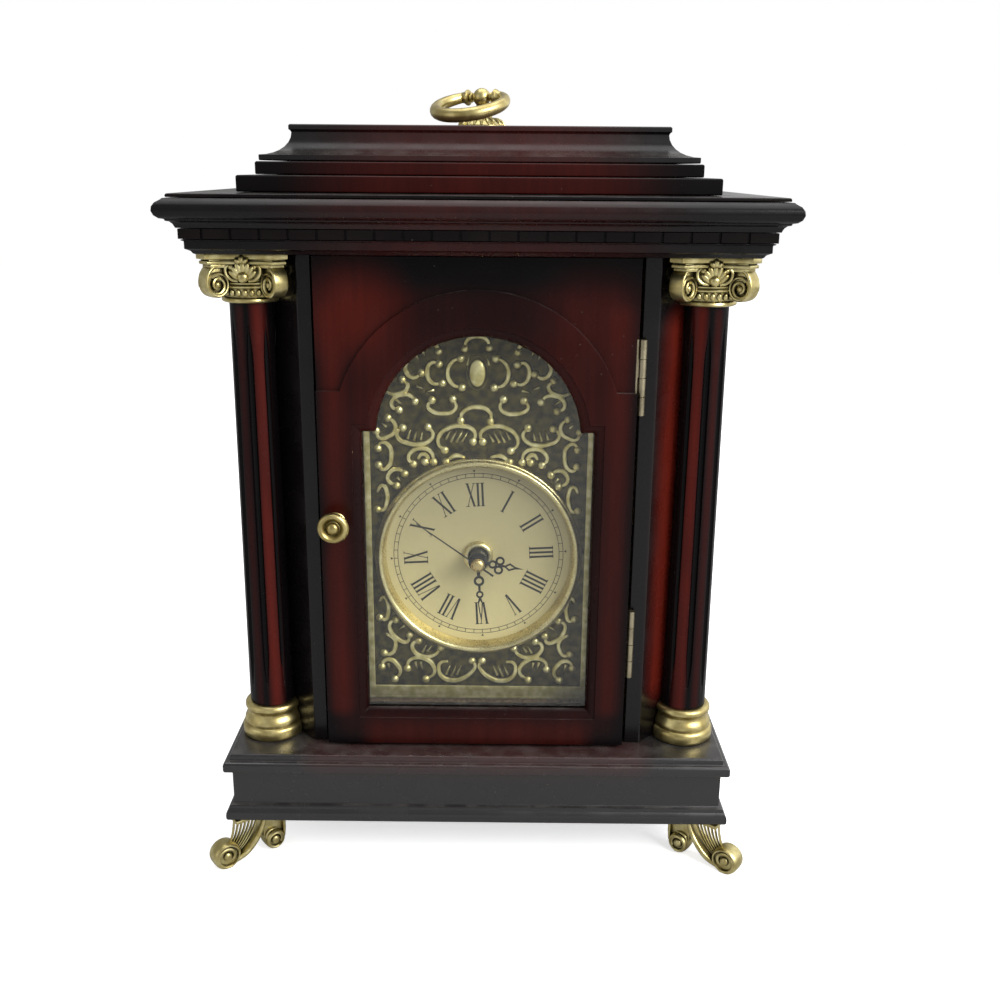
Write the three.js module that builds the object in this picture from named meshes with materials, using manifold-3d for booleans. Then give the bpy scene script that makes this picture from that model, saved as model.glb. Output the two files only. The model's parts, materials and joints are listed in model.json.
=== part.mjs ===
// A small table clock in a lacquered wooden case: four scroll feet, a plinth, engaged fluted columns,
// a dentilled cornice, a stepped cap with a ring handle, a glazed arched door in front of an embossed
// dial plate, and a battery movement reached through a door in the back.
// Millimetres. X runs to the viewer's right, Y runs from the front to the back and Z runs up.
// The origin is on the surface that the clock stands on, midway between its sides, front and back.
import * as THREE from 'three';
import { mergeVertices } from 'three/addons/utils/BufferGeometryUtils.js';
import Module from 'manifold-3d';

const wasm = await Module();
wasm.setup();

// ---- Driving dimensions ----

const seat = 0.3; // gap left between pieces that are glued, screwed or seated on each other

// Plinth, four-sided, measured to its plain upright face.
const plinthHalfWidth = 111;
const plinthHalfDepth = 71;
const footHeight = 23.5;
const plinthMouldHeight = 14.1;
const plinthFaceHeight = 10.6;
const plinthWall = 14;
const slabThick = 5;
const slabOverhang = 3.5;
const floorThick = 3.4;
const floorOverhang = 0.8;

// Body of the case.
const bodyHeight = 221.4;
const bodySetback = 4.5; // side of the case behind the plinth face
const frontSetback = 13.5; // front and back of the case behind the plinth face
const cantWidth = 31.5; // how far each canted front corner runs along X and along Y
const wallThick = 9;
const backThick = 8;

// Cornice, from the underside up; its profiles are measured out from the plinth face.
const soffitHeight = 6.2;
const dentilHeight = 4.2;
const crownHeight = 11.6;
const topBoardHeight = 1.7;
const dentilPitch = 11.2;
const dentilShift = -1.2; // how far the front row sits off centre
const dentilGap = 1.1;
const dentilDepth = 1.3;
const dentilOut = 5.9;
const ringWall = 16;
const topBoardOut = 9;

// Stepped cap.
const lowerTierInset = 13.4; // in from the plinth face, as the next two are
const lowerTierHeight = 6.8;
const upperTierInset = 20;
const upperTierHeight = 5.4;
const capInset = 32;
const capHeight = 14.5;
const capFillet = 2.1;

// Columns, standing half free in front of the canted corners.
const columnInset = 15; // axis in from the plinth face along X
const columnSetback = 24; // axis behind the plinth face along Y
const columnBaseHeight = 16.5;
const shaftBottomRadius = 10.2;
const shaftTopRadius = 9.3;
const fluteCount = 8;
const fluteDepth = 1.3;
const fluteWidth = 2.6;
const fluteEndGap = 6.5;
const fluteTaper = 12; // length over which a flute runs out at each end
const fluteTurn = -81.6; // direction of one flute on the right-hand column, degrees
const capitalHeight = 20.5;
const capitalHalfWidth = 18.6;
const voluteRadius = 5.4;
const voluteThick = 7;
const voluteReach = 22.8; // from the column's axis to the outside of each volute

// Scroll feet.
const footTurn = 38; // degrees between a foot's length and the front of the case
const toeRadius = 6.5;
const heelRadius = 5.7;
const footLength = 24.2; // between the centres of the two scrolls
const heelRise = 7.2; // centre of the heel scroll above the table
const scrollWidth = 8;
const footWebWidth = 5;
const toeOutX = 5.2;
const toeOutY = 2.7;
const footFlat = 0.35; // depth of the flat on which a toe rests

// Front door.
const latchJambWidth = 5.8; // jamb showing between the door and the cant, on the knob's side
const hingeJambWidth = 6.9;
const doorProud = 5.5;
const doorThick = 16;
const doorBottomGap = 1.3;
const doorTopGap = 0.9;
const latchGap = 1.2;
const hingeGap = 1.6;
const stileWidth = 13.2; // hinge stile, to the widest line of the window
const railHeight = 12.9;
const shoulderRise = 149.8; // shoulders of the window above the door's lower edge
const archInset = 5.7; // arch of the window in from its straight sides
const archRise = 142.9; // centre of the window's arch above the door's lower edge
const windowMould = 3.85;
const windowMouldDepth = 3.6;
const glassLip = 0.8;
const glassThick = 2;
const beadThick = 3;
const rebateWidth = 4;
const stepRise = 163.8; // step in the door's face above its lower edge
const stepInset = 8.5; // step's arch in from the hinge edge
const stepArchRise = 42.2;
const stepDepth = 2;

// Door furniture.
const knobRadius = 6.75;
const knobInset = 6.6; // in from the door's free edge
const knobRise = 106.2;
const knobLength = 10;
const hingeLength = 32;
const hingeRises = [48.9, 169.9]; // centres of the hinges above the door's lower edge
const barrelRadius = 1.6;
const pinRadius = 0.8;
const pinClearance = 0.1;
const leafThick = 0.7;
const leafWidth = 9;
const knuckleGap = 0.3;
const hingeOutX = 2; // hinge axis beyond the door's edge
const hingeOutY = 3.55; // hinge axis behind the door's face
const magnetSize = { width: 8, height: 14 };

// Dial.
const dialSides = 56; // facets of the round pieces of the dial
const dialRise = 85.1; // dial centre above the case floor
const boardThick = 6;
const plateThick = 1;
const plateLap = 0.7; // plate beyond the window at each side
const plateBelow = 71; // lower edge of the plate under the dial centre
const plateArchRise = 58; // centre of the plate's arch above the dial centre
const bezelInset = 6.55; // outside of the bezel in from the window's side
const bezelWidth = 4;
const bezelHeight = 4;
const bezelWall = 0.8; // thickness of the sleeve that carries the bezel through the plate
const bezelTaper = 0.6; // how much the sleeve narrows on its way to the disc
const discThick = 1;
const discSink = 2.8; // front of the disc behind the front of the plate
const dialFromFace = 29; // dial plate behind the plinth face
const nutRadius = 6.75;
const nutThick = 3;

// Movement and hands, all on the dial centre.
const movementDepth = 16.5;
const movementWall = 1.5;
const contactRoom = 1.5; // between each end of the battery and the wall
const bushRadius = 4;
const pipeRadius = 2.5;
const arborRadius = 1.6;
const secondRadius = 0.6;
const shaftClearance = 0.2;
const handThick = 0.6;
const hourHandLength = 20.5;
const minuteHandLength = 28;
const secondHandLength = 33.5;
const secondTailLength = 8.5;
const hourAngle = 99.5; // degrees clockwise from twelve
const minuteAngle = 176.5;
const secondAngle = 305.5;
const bushFront = 5.2; // reach of each shaft in front of the dial plate
const hourHandFront = 6.4;
const minuteHandFront = 8.8;
const secondHandFront = 11.2;
const gearModule = 0.5;
const cannonTeeth = 10;
const minuteWheelTeeth = 30;
const minutePinionTeeth = 8;
const hourWheelTeeth = 32;
const setTeeth = 10;
const gearThick = 1.4;
const gearLayerGap = 1.2; // between the hour wheel and the wheels behind it
const studRad = 0.7;
const rearBossRadius = 2.2;
const rearBossSink = 3.6; // how far the second arbor's bearing reaches in from the cover
const bayDrop = 10; // battery bay's upper wall under the dial centre
const cellGap = 0.25; // between the battery and its bay
const batteryRadius = 7.25;
const batteryLength = 50;
const setKnobRadius = 6;
const setKnobLength = 4.5;

// Back door.
const backStileWidth = 46.5; // side of the case to the back door
const backDoorHeight = 130;
const backDoorRise = 90; // its centre above the case floor
const backDoorThick = 5;
const backDoorGap = 1;
const backStopWidth = 4;
const backHingeLength = 96;
const backHingeOutX = 0.5;
const backKnobRadius = 5;
const backKnobLength = 9;

// Ring handle.
const ringRadius = 15;
const ringTubeMiddle = 2.9;
const ringTubeEnd = 2.2;
const ringHalfChord = 9.5;
const ringDroop = 19; // degrees that the ring hangs below level
const ringTurn = 26; // degrees that the handle is turned on its post
const ballRadius = 3.9;
const ballRise = 13.1; // centre of the ball above the cap
const ringPinRadius = 1.05;
const rosetteRadius = 10.5;
const rosetteHeight = 5.2;
const studRadius = 2;

// ---- Levels and planes that follow from them ----

const rad = THREE.MathUtils.degToRad;
const faceTop = footHeight + plinthMouldHeight + plinthFaceHeight;
const slabTop = faceTop + slabThick;
const floorTop = slabTop + floorThick;
const bodyTop = floorTop + bodyHeight;
const dentilBottom = bodyTop + soffitHeight;
const crownBottom = dentilBottom + dentilHeight;
const crownTop = crownBottom + crownHeight;
const corniceTop = crownTop + topBoardHeight;
const lowerTierTop = corniceTop + lowerTierHeight;
const upperTierTop = lowerTierTop + upperTierHeight;
const capTop = upperTierTop + capHeight;

const plinthFront = -plinthHalfDepth;
const bodySide = plinthHalfWidth - bodySetback;
const bodyFront = plinthFront + frontSetback;
const bodyBack = -bodyFront;
const cantInnerX = bodySide - cantWidth;
const cantEndY = bodyFront + cantWidth;
const columnX = plinthHalfWidth - columnInset;
const columnY = plinthFront + columnSetback;

const rightJamb = cantInnerX - hingeJambWidth;
const leftJamb = cantInnerX - latchJambWidth;
const doorRight = rightJamb - hingeGap;
const doorLeft = -(leftJamb - latchGap);
const windowHalfWidth = doorRight - stileWidth;
const archRadius = windowHalfWidth - archInset;
const stepHalfWidth = doorRight - stepInset;
const bezelRadius = windowHalfWidth - bezelInset;
const bezelBore = bezelRadius - bezelWidth;
const knobX = doorLeft + knobInset;
const backDoorHalfWidth = bodySide - backStileWidth;
const doorFront = bodyFront - doorProud;
const doorBack = doorFront + doorThick;
const doorBottom = floorTop + doorBottomGap;
const doorTop = bodyTop - doorTopGap;
const hingeX = doorRight + hingeOutX;
const hingeY = doorFront + hingeOutY;
const glassFront = doorFront + windowMouldDepth + glassLip + seat;

const dialZ = floorTop + dialRise;
const plateFront = plinthFront + dialFromFace;
const boardFront = plateFront + plateThick + seat;
const boardBack = boardFront + boardThick;
const movementFront = boardBack + seat;
const movementBack = movementFront + movementDepth;

// ---- Materials ----

const material = (color, roughness, metalness) =>
  new THREE.MeshStandardMaterial({ color, roughness, metalness });

const finishes = {
  ebony: material('#171012', 0.28, 0),
  mahogany: material('#3c1210', 0.3, 0),
  board: material('#6b5238', 0.8, 0),
  antiqueBrass: material('#9a8a4a', 0.4, 1),
  brass: material('#c2a05a', 0.3, 1),
  champagne: material('#c8bb94', 0.45, 0.6),
  blackSteel: material('#141414', 0.4, 0.5),
  steel: material('#b7b7b2', 0.35, 1),
  plastic: material('#1d1d1f', 0.55, 0),
  whitePlastic: material('#e4e2da', 0.5, 0),
  copper: material('#a8562c', 0.4, 1),
  circuit: material('#2f5d3a', 0.6, 0),
  glass: material('#dfe8e4', 0.05, 0),
  cell: material('#8a3b2a', 0.45, 0.2),
};

const clock = new THREE.Group();

function place(name, geometry, finish) {
  const mesh = new THREE.Mesh(geometry, finish);
  mesh.name = name;
  clock.add(mesh);
}

// ---- Geometry helpers ----

// Welds a geometry, drops its collapsed faces and turns the rest outward.
function closed(geometry) {
  geometry.deleteAttribute('normal');
  geometry.deleteAttribute('uv');
  const welded = mergeVertices(geometry, 1e-4);
  const index = welded.index.array;
  const position = welded.getAttribute('position');
  const corners = [0, 1, 2].map(() => new THREE.Vector3());
  const faces = [];
  let volume = 0;
  for (let i = 0; i < index.length; i += 3) {
    const [a, b, c] = [index[i], index[i + 1], index[i + 2]];
    if (a === b || b === c || c === a) continue;
    faces.push([a, b, c]);
    [a, b, c].forEach((v, k) => corners[k].fromBufferAttribute(position, v));
    volume += corners[0].dot(corners[1].clone().cross(corners[2]));
  }
  const turned = volume < 0 ? faces.map(([a, b, c]) => [a, c, b]) : faces;
  const result = new THREE.BufferGeometry();
  result.setAttribute('position', position);
  result.setIndex(turned.flat());
  return result;
}

function toSolid(geometry) {
  const shell = closed(geometry);
  const vertProperties = new Float32Array(shell.getAttribute('position').array);
  const triVerts = new Uint32Array(shell.index.array);
  return new wasm.Manifold(new wasm.Mesh({ numProp: 3, vertProperties, triVerts }));
}

function toGeometry(solid) {
  const mesh = solid.getMesh();
  const geometry = new THREE.BufferGeometry();
  geometry.setAttribute('position', new THREE.BufferAttribute(mesh.vertProperties, 3));
  geometry.setIndex(Array.from(mesh.triVerts));
  return geometry;
}

const join = (...parts) => toGeometry(parts.map(toSolid).reduce((sum, part) => sum.add(part)));

const cut = (body, ...tools) =>
  toGeometry(tools.reduce((rest, tool) => rest.subtract(toSolid(tool)), toSolid(body)));

const common = (a, b) => toGeometry(toSolid(a).intersect(toSolid(b)));

function box(x0, x1, y0, y1, z0, z1) {
  const geometry = new THREE.BoxGeometry(x1 - x0, y1 - y0, z1 - z0);
  return closed(geometry.translate((x0 + x1) / 2, (y0 + y1) / 2, (z0 + z1) / 2));
}

function shapeOf(outline, holes = []) {
  const shape = new THREE.Shape(outline.map(([x, y]) => new THREE.Vector2(x, y)));
  holes.forEach((hole) => {
    shape.holes.push(new THREE.Path(hole.map(([x, y]) => new THREE.Vector2(x, y))));
  });
  return shape;
}

// An outline in X and Y, raised from z0 to z1.
function upright(outline, z0, z1, holes) {
  const settings = { depth: z1 - z0, bevelEnabled: false };
  return closed(new THREE.ExtrudeGeometry(shapeOf(outline, holes), settings).translate(0, 0, z0));
}

// An outline in X and Z, carried from y0 back to y1.
function facing(outline, y0, y1, holes) {
  const settings = { depth: y1 - y0, bevelEnabled: false };
  const geometry = new THREE.ExtrudeGeometry(shapeOf(outline, holes), settings);
  return closed(geometry.rotateX(Math.PI / 2).translate(0, y1, 0));
}

// Points on an arc, both ends included; angles in degrees.
function arc(x, y, radius, from, to, steps) {
  return Array.from({ length: steps + 1 }, (_, i) => {
    const angle = rad(from + ((to - from) * i) / steps);
    return [x + radius * Math.cos(angle), y + radius * Math.sin(angle)];
  });
}

const circle = (x, y, radius, sides) => arc(x, y, radius, 0, 360, sides).slice(0, -1);

const rectangle = (x0, x1, y0, y1) => [[x0, y0], [x1, y0], [x1, y1], [x0, y1]];

// A turned piece on an upright axis; the profile holds [radius, height] and ends on the axis.
function turned(profile, sides) {
  const points = profile.map(([r, h]) => new THREE.Vector2(r, h));
  return closed(new THREE.LatheGeometry(points, sides).rotateX(Math.PI / 2));
}

// The same, with its axis along Y at x, z; the profile's heights are places along Y.
function turnedAlongY(profile, sides, x, z) {
  const points = profile.map(([r, y]) => new THREE.Vector2(r, y));
  return closed(new THREE.LatheGeometry(points, sides).translate(x, 0, z));
}

// A skin through rings of points, closed at both ends, or back onto its first ring.
function skin(rings, endless = false) {
  const sides = rings[0].length;
  const points = rings.flat();
  const faces = [];
  const spans = endless ? rings.length : rings.length - 1;
  for (let i = 0; i < spans; i++) {
    const next = (i + 1) % rings.length;
    for (let j = 0; j < sides; j++) {
      const k = (j + 1) % sides;
      const [a, b, c, d] = [i * sides + j, i * sides + k, next * sides + k, next * sides + j];
      faces.push([a, b, c], [a, c, d]);
    }
  }
  if (!endless) {
    [0, rings.length - 1].forEach((end) => {
      const middle = points.length;
      const sum = rings[end].reduce((s, p) => s.map((v, axis) => v + p[axis]), [0, 0, 0]);
      points.push(sum.map((v) => v / sides));
      for (let j = 0; j < sides; j++) {
        const edge = [end * sides + j, end * sides + ((j + 1) % sides)];
        faces.push(end === 0 ? [middle, edge[1], edge[0]] : [middle, ...edge]);
      }
    });
  }
  const geometry = new THREE.BufferGeometry();
  geometry.setAttribute('position', new THREE.Float32BufferAttribute(points.flat(), 3));
  geometry.setIndex(faces.flat());
  return closed(geometry);
}

const corners = [[-1, -1], [1, -1], [1, 1], [-1, 1]];

// A board with a moulded edge: [how far the edge stands out, height] from its underside to its top.
function mouldedBoard(profile, halfWidth, halfDepth) {
  return skin(profile.map(([out, z]) =>
    corners.map(([sx, sy]) => [sx * (halfWidth + out), sy * (halfDepth + out), z])));
}

// A mitred four-sided frame; its profile is a closed outline of the same kind of points.
function mouldedFrame(profile, halfWidth, halfDepth) {
  return skin(corners.map(([sx, sy]) =>
    profile.map(([out, z]) => [sx * (halfWidth + out), sy * (halfDepth + out), z])), true);
}

const raised = (profile, z) => profile.map(([out, height]) => [out, height + z]);

// Copies a geometry mirrored in X, or in Y.
const mirrored = (geometry, sx, sy) => closed(geometry.clone().scale(sx, sy, 1));

const sideNames = [['left', -1], ['right', 1]];

// ---- Feet ----

// One front right foot: two scrolls joined by a web that hangs from a pad under the plinth.
function foot() {
  const heelX = -footLength;
  const toeZ = toeRadius - footFlat;
  const padBottom = footHeight - seat - 1.8;
  const web = [
    ...arc(0, toeZ, toeRadius - 0.4, -95, 70, 6),
    [-3.2, 13.5],
    [-5, padBottom + 0.5],
    [heelX - heelRadius + 1.4, padBottom + 0.5],
    [heelX - heelRadius + 0.3, 14],
    ...arc(heelX, heelRise, heelRadius - 0.3, 175, 300, 5),
    [heelX + 5.5, 3.4],
    [heelX + 10, 1.6],
    [heelX + 16, 0.5],
  ];
  const plainWeb = facing(web, -footWebWidth / 2, footWebWidth / 2);
  const half = scrollWidth / 2;
  const toe = facing(circle(0, toeZ, toeRadius, 20), -half, half);
  const heel = facing(circle(heelX, heelRise, heelRadius, 16), -half, half);
  const pad = box(heelX - heelRadius + 1, -4.5, -4.8, 4.8, padBottom, footHeight - seat);
  const whole = join(plainWeb, toe, heel, pad);
  const table = box(-60, 60, -30, 30, 0, footHeight);
  return common(whole, table)
    .rotateZ(rad(-footTurn))
    .translate(plinthHalfWidth + toeOutX, plinthFront - toeOutY, 0);
}

const footShape = foot();
[['front', 1], ['rear', -1]].forEach(([end, sy]) => {
  sideNames.forEach(([side, sx]) => {
    place(`foot_${end}_${side}`, mirrored(footShape, sx, sy), finishes.antiqueBrass);
  });
});

// ---- Plinth ----

const plinthProfile = [
  [-plinthWall, 0], [1.6, 0], [2.7, 0.5], [3.4, 1.6], [3.4, 3], [3, 4.6], [2.5, 6.4], [2.2, 8.2],
  [1.9, 8.9], [1.2, 10.6], [0.5, 12.4], [0, plinthMouldHeight],
  [0, plinthMouldHeight + plinthFaceHeight - seat],
  [-plinthWall, plinthMouldHeight + plinthFaceHeight - seat],
];
place('plinth_frame', mouldedFrame(raised(plinthProfile, footHeight), plinthHalfWidth, plinthHalfDepth),
  finishes.ebony);

// One board: a wide ledge, and the smaller rounded step on it that the case stands on.
const stepIn = slabOverhang - floorOverhang;
const slabHeight = slabThick + floorThick - seat;
const slabProfile = [[-0.7, 0], [0, 0.7], [0, slabThick - 0.9], [-0.9, slabThick],
  [-stepIn, slabThick], [-stepIn, slabHeight - 1], [-stepIn - 0.4, slabHeight - 0.3],
  [-stepIn - 1.2, slabHeight]];
place('base_slab', mouldedBoard(raised(slabProfile, faceTop),
  plinthHalfWidth + slabOverhang, plinthHalfDepth + slabOverhang), finishes.ebony);

// ---- Body ----

const wallTop = bodyTop - seat;
const boardHalfWidth = cantInnerX + 3.7;

// A canted corner post: its jamb beside the door, the cant behind the column, and its inner face.
function cornerPost(jamb) {
  const innerCant = wallThick * Math.SQRT2;
  const innerEndX = bodySide - innerCant;
  const jambBack = boardFront - seat;
  const innerStartX = innerEndX - (cantEndY - jambBack);
  return upright([
    [jamb, bodyFront], [cantInnerX, bodyFront], [bodySide, cantEndY], [innerEndX, cantEndY],
    [innerStartX, jambBack], [jamb, jambBack],
  ], floorTop, wallTop);
}

const mortise = leafThick + 2 * seat;
const hingeCentres = hingeRises.map((rise) => doorBottom + rise);
const hingeMortises = hingeCentres.map((z) =>
  box(rightJamb - 1, rightJamb + mortise - seat, bodyFront - 1, hingeY + leafWidth + seat,
    z - hingeLength / 2 - seat, z + hingeLength / 2 + seat));
place('corner_post_right', cut(cornerPost(rightJamb), ...hingeMortises), finishes.mahogany);
place('corner_post_left', mirrored(cornerPost(leftJamb), -1, 1), finishes.mahogany);

sideNames.forEach(([side, sx]) => {
  const panel = box(bodySide - wallThick, bodySide, cantEndY + seat, bodyBack, floorTop, wallTop);
  place(`side_panel_${side}`, mirrored(panel, sx, 1), finishes.mahogany);
});

// The dial board is bored for the movement's bush and sunk for the dial disc.
place('dial_board', cut(
  box(-boardHalfWidth, boardHalfWidth, boardFront, boardBack, floorTop, wallTop),
  facing(circle(0, dialZ, bushRadius + 1, 24), boardFront - 1, boardBack + 1),
  facing(circle(0, dialZ, bezelBore + bezelWall + seat, dialSides), boardFront - 1,
    plateFront + discSink + discThick + seat),
), finishes.board);

// ---- Cornice ----

const soffitProfile = [[0.8, 0], [1.6, 0.4], [2.3, 1.4], [3.5, 2], [4.2, 2.3], [4.2, 5.2],
  [5.2, 5.6], [5.2, soffitHeight - seat]];
place('soffit_board', mouldedBoard(raised(soffitProfile, bodyTop), plinthHalfWidth, plinthHalfDepth),
  finishes.ebony);

// Notches along one side of the dentil strip, from one corner to the next.
function dentilSide(halfLength, out, shift) {
  const count = Math.floor((2 * halfLength) / dentilPitch);
  const start = shift - ((count - 1) * dentilPitch) / 2;
  return Array.from({ length: count }, (_, i) => start + i * dentilPitch).flatMap((middle) => [
    [middle - dentilGap / 2, out], [middle - dentilGap / 2, out - dentilDepth],
    [middle + dentilGap / 2, out - dentilDepth], [middle + dentilGap / 2, out],
  ]);
}

const dentilX = plinthHalfWidth + dentilOut;
const dentilY = plinthHalfDepth + dentilOut;
const dentilFront = dentilSide(dentilX, dentilY, dentilShift);
const dentilEnd = dentilSide(dentilY, dentilX, 0);
const dentilOutline = [
  ...dentilFront.map(([x, out]) => [x, -out]), [dentilX, -dentilY],
  ...dentilEnd.map(([y, out]) => [out, y]), [dentilX, dentilY],
  ...dentilFront.map(([x, out]) => [-x, out]), [-dentilX, dentilY],
  ...dentilEnd.map(([y, out]) => [-out, -y]), [-dentilX, -dentilY],
];
const dentilHole = rectangle(-plinthHalfWidth + ringWall, plinthHalfWidth - ringWall,
  -plinthHalfDepth + ringWall, plinthHalfDepth - ringWall).reverse();
place('dentil_moulding', upright(dentilOutline, dentilBottom, crownBottom - seat, [dentilHole]),
  finishes.ebony);

const crownProfile = [
  [-ringWall, 0], [6.6, 0], [6.8, 0.6], [7.3, 1.6], [8.3, 2.5], [9.6, 2.8], [9.6, 3.4],
  [11.4, 3.8], [12.8, 4.9], [13.5, 6.6], [13.3, 8.2], [12.3, 9.7], [10.6, 10.7],
  [9.9, crownHeight - seat], [-ringWall, crownHeight - seat],
];
place('crown_moulding', mouldedFrame(raised(crownProfile, crownBottom), plinthHalfWidth,
  plinthHalfDepth), finishes.ebony);

const studHole = (z0, z1) => upright(circle(0, 0, studRadius + seat, 16), z0 - 1, z1 + 1);
const topBoardProfile = [[0, 0], [0, topBoardHeight - seat - 0.4], [-0.5, topBoardHeight - seat]];
place('cornice_top_board', cut(mouldedBoard(raised(topBoardProfile, crownTop),
  plinthHalfWidth + topBoardOut, plinthHalfDepth + topBoardOut), studHole(crownTop, corniceTop)),
finishes.ebony);

// ---- Stepped cap ----

function capBoard(name, profile, inset, bottom, height, finish) {
  const board = mouldedBoard(raised(profile, bottom), plinthHalfWidth - inset,
    plinthHalfDepth - inset);
  place(name, cut(board, studHole(bottom, bottom + height)), finish);
}

function tier(name, inset, bottom, height) {
  const profile = [[-0.3, 0], [0, 0.3], [0, height - seat - 0.5], [-0.5, height - seat]];
  capBoard(name, profile, inset, bottom, height, finishes.mahogany);
}
tier('cap_tier_lower', lowerTierInset, corniceTop, lowerTierHeight);
tier('cap_tier_upper', upperTierInset, lowerTierTop, upperTierHeight);

const coveFoot = capInset - upperTierInset - 1.4;
const coveBottom = 2.3;
const coveTop = capHeight - capFillet - 1.1;
const coveSteps = 7;
const cove = Array.from({ length: coveSteps + 1 }, (_, i) => {
  const angle = ((i / coveSteps) * Math.PI) / 2;
  const out = (coveFoot + 1) * (1 - Math.sin(angle)) - 1;
  return [out, coveTop - (coveTop - coveBottom) * Math.cos(angle)];
});
const capProfile = [[coveFoot - 0.3, 0], [coveFoot, 0.3], [coveFoot, coveBottom - 0.3], ...cove,
  [-0.6, capHeight - capFillet - 0.4], [0, capHeight - capFillet], [0, capHeight - 0.5],
  [-0.5, capHeight]];
capBoard('cap_top', capProfile, capInset, upperTierTop, capHeight, finishes.ebony);

// ---- Columns ----

// Everything on the case side of a right-hand canted face, with the seating gap in front of it.
function behindCant() {
  const reach = 80;
  const gap = seat * Math.SQRT2;
  return upright([
    [cantInnerX - reach + gap, bodyFront - reach], [cantInnerX + reach + gap, bodyFront + reach],
    [cantInnerX - reach, bodyFront + reach],
  ], 0, capTop);
}

const alongCant = behindCant();

function onRightColumn(geometry) {
  return cut(geometry.translate(columnX, columnY, 0), alongCant);
}

const columnBaseProfile = [[0, 0], [13.6, 0], [14.1, 0.7], [14.1, 4.6], [13.6, 5.5], [12.8, 5.9],
  [13.1, 7.2], [12.9, 8.8], [11.9, 10.2], [11.5, 11.4], [11.9, 12.7], [12.6, 13.5], [12.6, 15.2],
  [12, 16.1], [11, columnBaseHeight], [0, columnBaseHeight]];
const columnBase = onRightColumn(turned(raised(columnBaseProfile, floorTop), 28));

const shaftBottom = floorTop + columnBaseHeight + seat;
const capitalBottom = bodyTop - seat - capitalHeight;
const shaftTop = capitalBottom - seat;

// One level of the shaft: a round, with its flutes cut to the depth given.
function shaftRing(z, depth) {
  const share = (z - shaftBottom) / (shaftTop - shaftBottom);
  const radius = shaftBottomRadius + (shaftTopRadius - shaftBottomRadius) * share;
  const halfTurn = THREE.MathUtils.radToDeg(fluteWidth / 2 / radius);
  const pitch = 360 / fluteCount;
  const turns = [-halfTurn, -halfTurn / 2, 0, halfTurn / 2, halfTurn, pitch / 3, (2 * pitch) / 3];
  const cuts = [0, 0.75, 1, 0.75, 0, 0, 0];
  return Array.from({ length: fluteCount }, (_, i) => fluteTurn + i * pitch).flatMap((flute) =>
    turns.map((turn, k) => {
      const r = radius - depth * cuts[k];
      return [r * Math.cos(rad(flute + turn)), r * Math.sin(rad(flute + turn)), z];
    }));
}

const fluteStart = shaftBottom + fluteEndGap;
const fluteEnd = shaftTop - fluteEndGap;
const columnShaft = onRightColumn(skin([
  shaftRing(shaftBottom, 0), shaftRing(fluteStart, 0), shaftRing(fluteStart + fluteTaper, fluteDepth),
  shaftRing(fluteEnd - fluteTaper, fluteDepth), shaftRing(fluteEnd, 0), shaftRing(shaftTop, 0),
]));

// Abacus outline: four blunt corners and hollow sides.
function abacus(halfWidth) {
  const blunt = 4.5;
  const hollow = 3.5;
  const side = [[-halfWidth + blunt, halfWidth], [-halfWidth / 2, halfWidth - hollow * 0.75],
    [0, halfWidth - hollow], [halfWidth / 2, halfWidth - hollow * 0.75],
    [halfWidth - blunt, halfWidth]];
  return [0, 90, 180, 270].flatMap((turn) => {
    const [c, s] = [Math.round(Math.cos(rad(-turn))), Math.round(Math.sin(rad(-turn)))];
    return side.map(([x, y]) => [x * c - y * s, x * s + y * c]);
  });
}

// A corner volute: a scroll under a strap that hangs from the abacus, along the diagonal.
function cornerVolute(z, turn) {
  const middle = voluteReach - voluteRadius;
  const outline = [
    ...arc(middle, z + voluteRadius + 2.4, voluteRadius, -180, 60, 12),
    [middle + voluteRadius, z + 14], [middle + 2, z + 17], [6, z + 17], [6, z + 9],
  ];
  return facing(outline, -voluteThick / 2, voluteThick / 2).rotateZ(rad(turn));
}

function capital() {
  const z = capitalBottom;
  const core = turned(raised([[0, 0], [11.6, 0], [12.3, 0.8], [12.3, 1.7], [11.4, 2.4], [11.6, 3],
    [13, 6], [13.4, 7.4], [12.8, 8.4], [12.2, 9.4], [13, 14], [14.5, 17], [0, 17]], z), 24);
  const plate = upright(abacus(capitalHalfWidth - 1.6), z + 14.2, z + 16.9);
  const top = upright(abacus(capitalHalfWidth), z + 16.8, z + capitalHeight);
  const volutes = [45, 135, 225, 315].map((turn) => cornerVolute(z, turn));
  return onRightColumn(join(core, plate, top, ...volutes));
}
const columnCapital = capital();

sideNames.forEach(([side, sx]) => {
  place(`column_base_${side}`, mirrored(columnBase, sx, 1), finishes.antiqueBrass);
  place(`column_shaft_${side}`, mirrored(columnShaft, sx, 1), finishes.mahogany);
  place(`column_capital_${side}`, mirrored(columnCapital, sx, 1), finishes.antiqueBrass);
});

// ---- Front door ----

// The window's shouldered arch, drawn in from its widest line.
function windowOutline(inset) {
  const half = windowHalfWidth - inset;
  const shoulder = doorBottom + shoulderRise - inset;
  const middle = doorBottom + archRise;
  const radius = archRadius - inset;
  const spring = THREE.MathUtils.radToDeg(Math.asin((shoulder - middle) / radius));
  return [
    [-half, doorBottom + railHeight + inset], [half, doorBottom + railHeight + inset],
    [half, shoulder], ...arc(0, middle, radius, spring, 180 - spring, 24), [-half, shoulder],
  ];
}

function arched(inset, y0, y1) {
  return facing(windowOutline(inset), y0, y1);
}

// The moulding round the window runs from the door's face in to the glass.
const windowSection = [[0, -1], [0, 0.6], [1.3, 0.9], [2.6, 1.7], [3.45, 2.7],
  [windowMould, windowMouldDepth], [windowMould, windowMouldDepth + glassLip + 0.5]];
const windowCutter = skin(windowSection.map(([inset, depth]) =>
  windowOutline(inset).map(([x, z]) => [x, doorFront + depth, z])));
const rebate = windowMould - rebateWidth;
const rebateCutter = arched(rebate, glassFront - seat, doorBack + 1);

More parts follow.
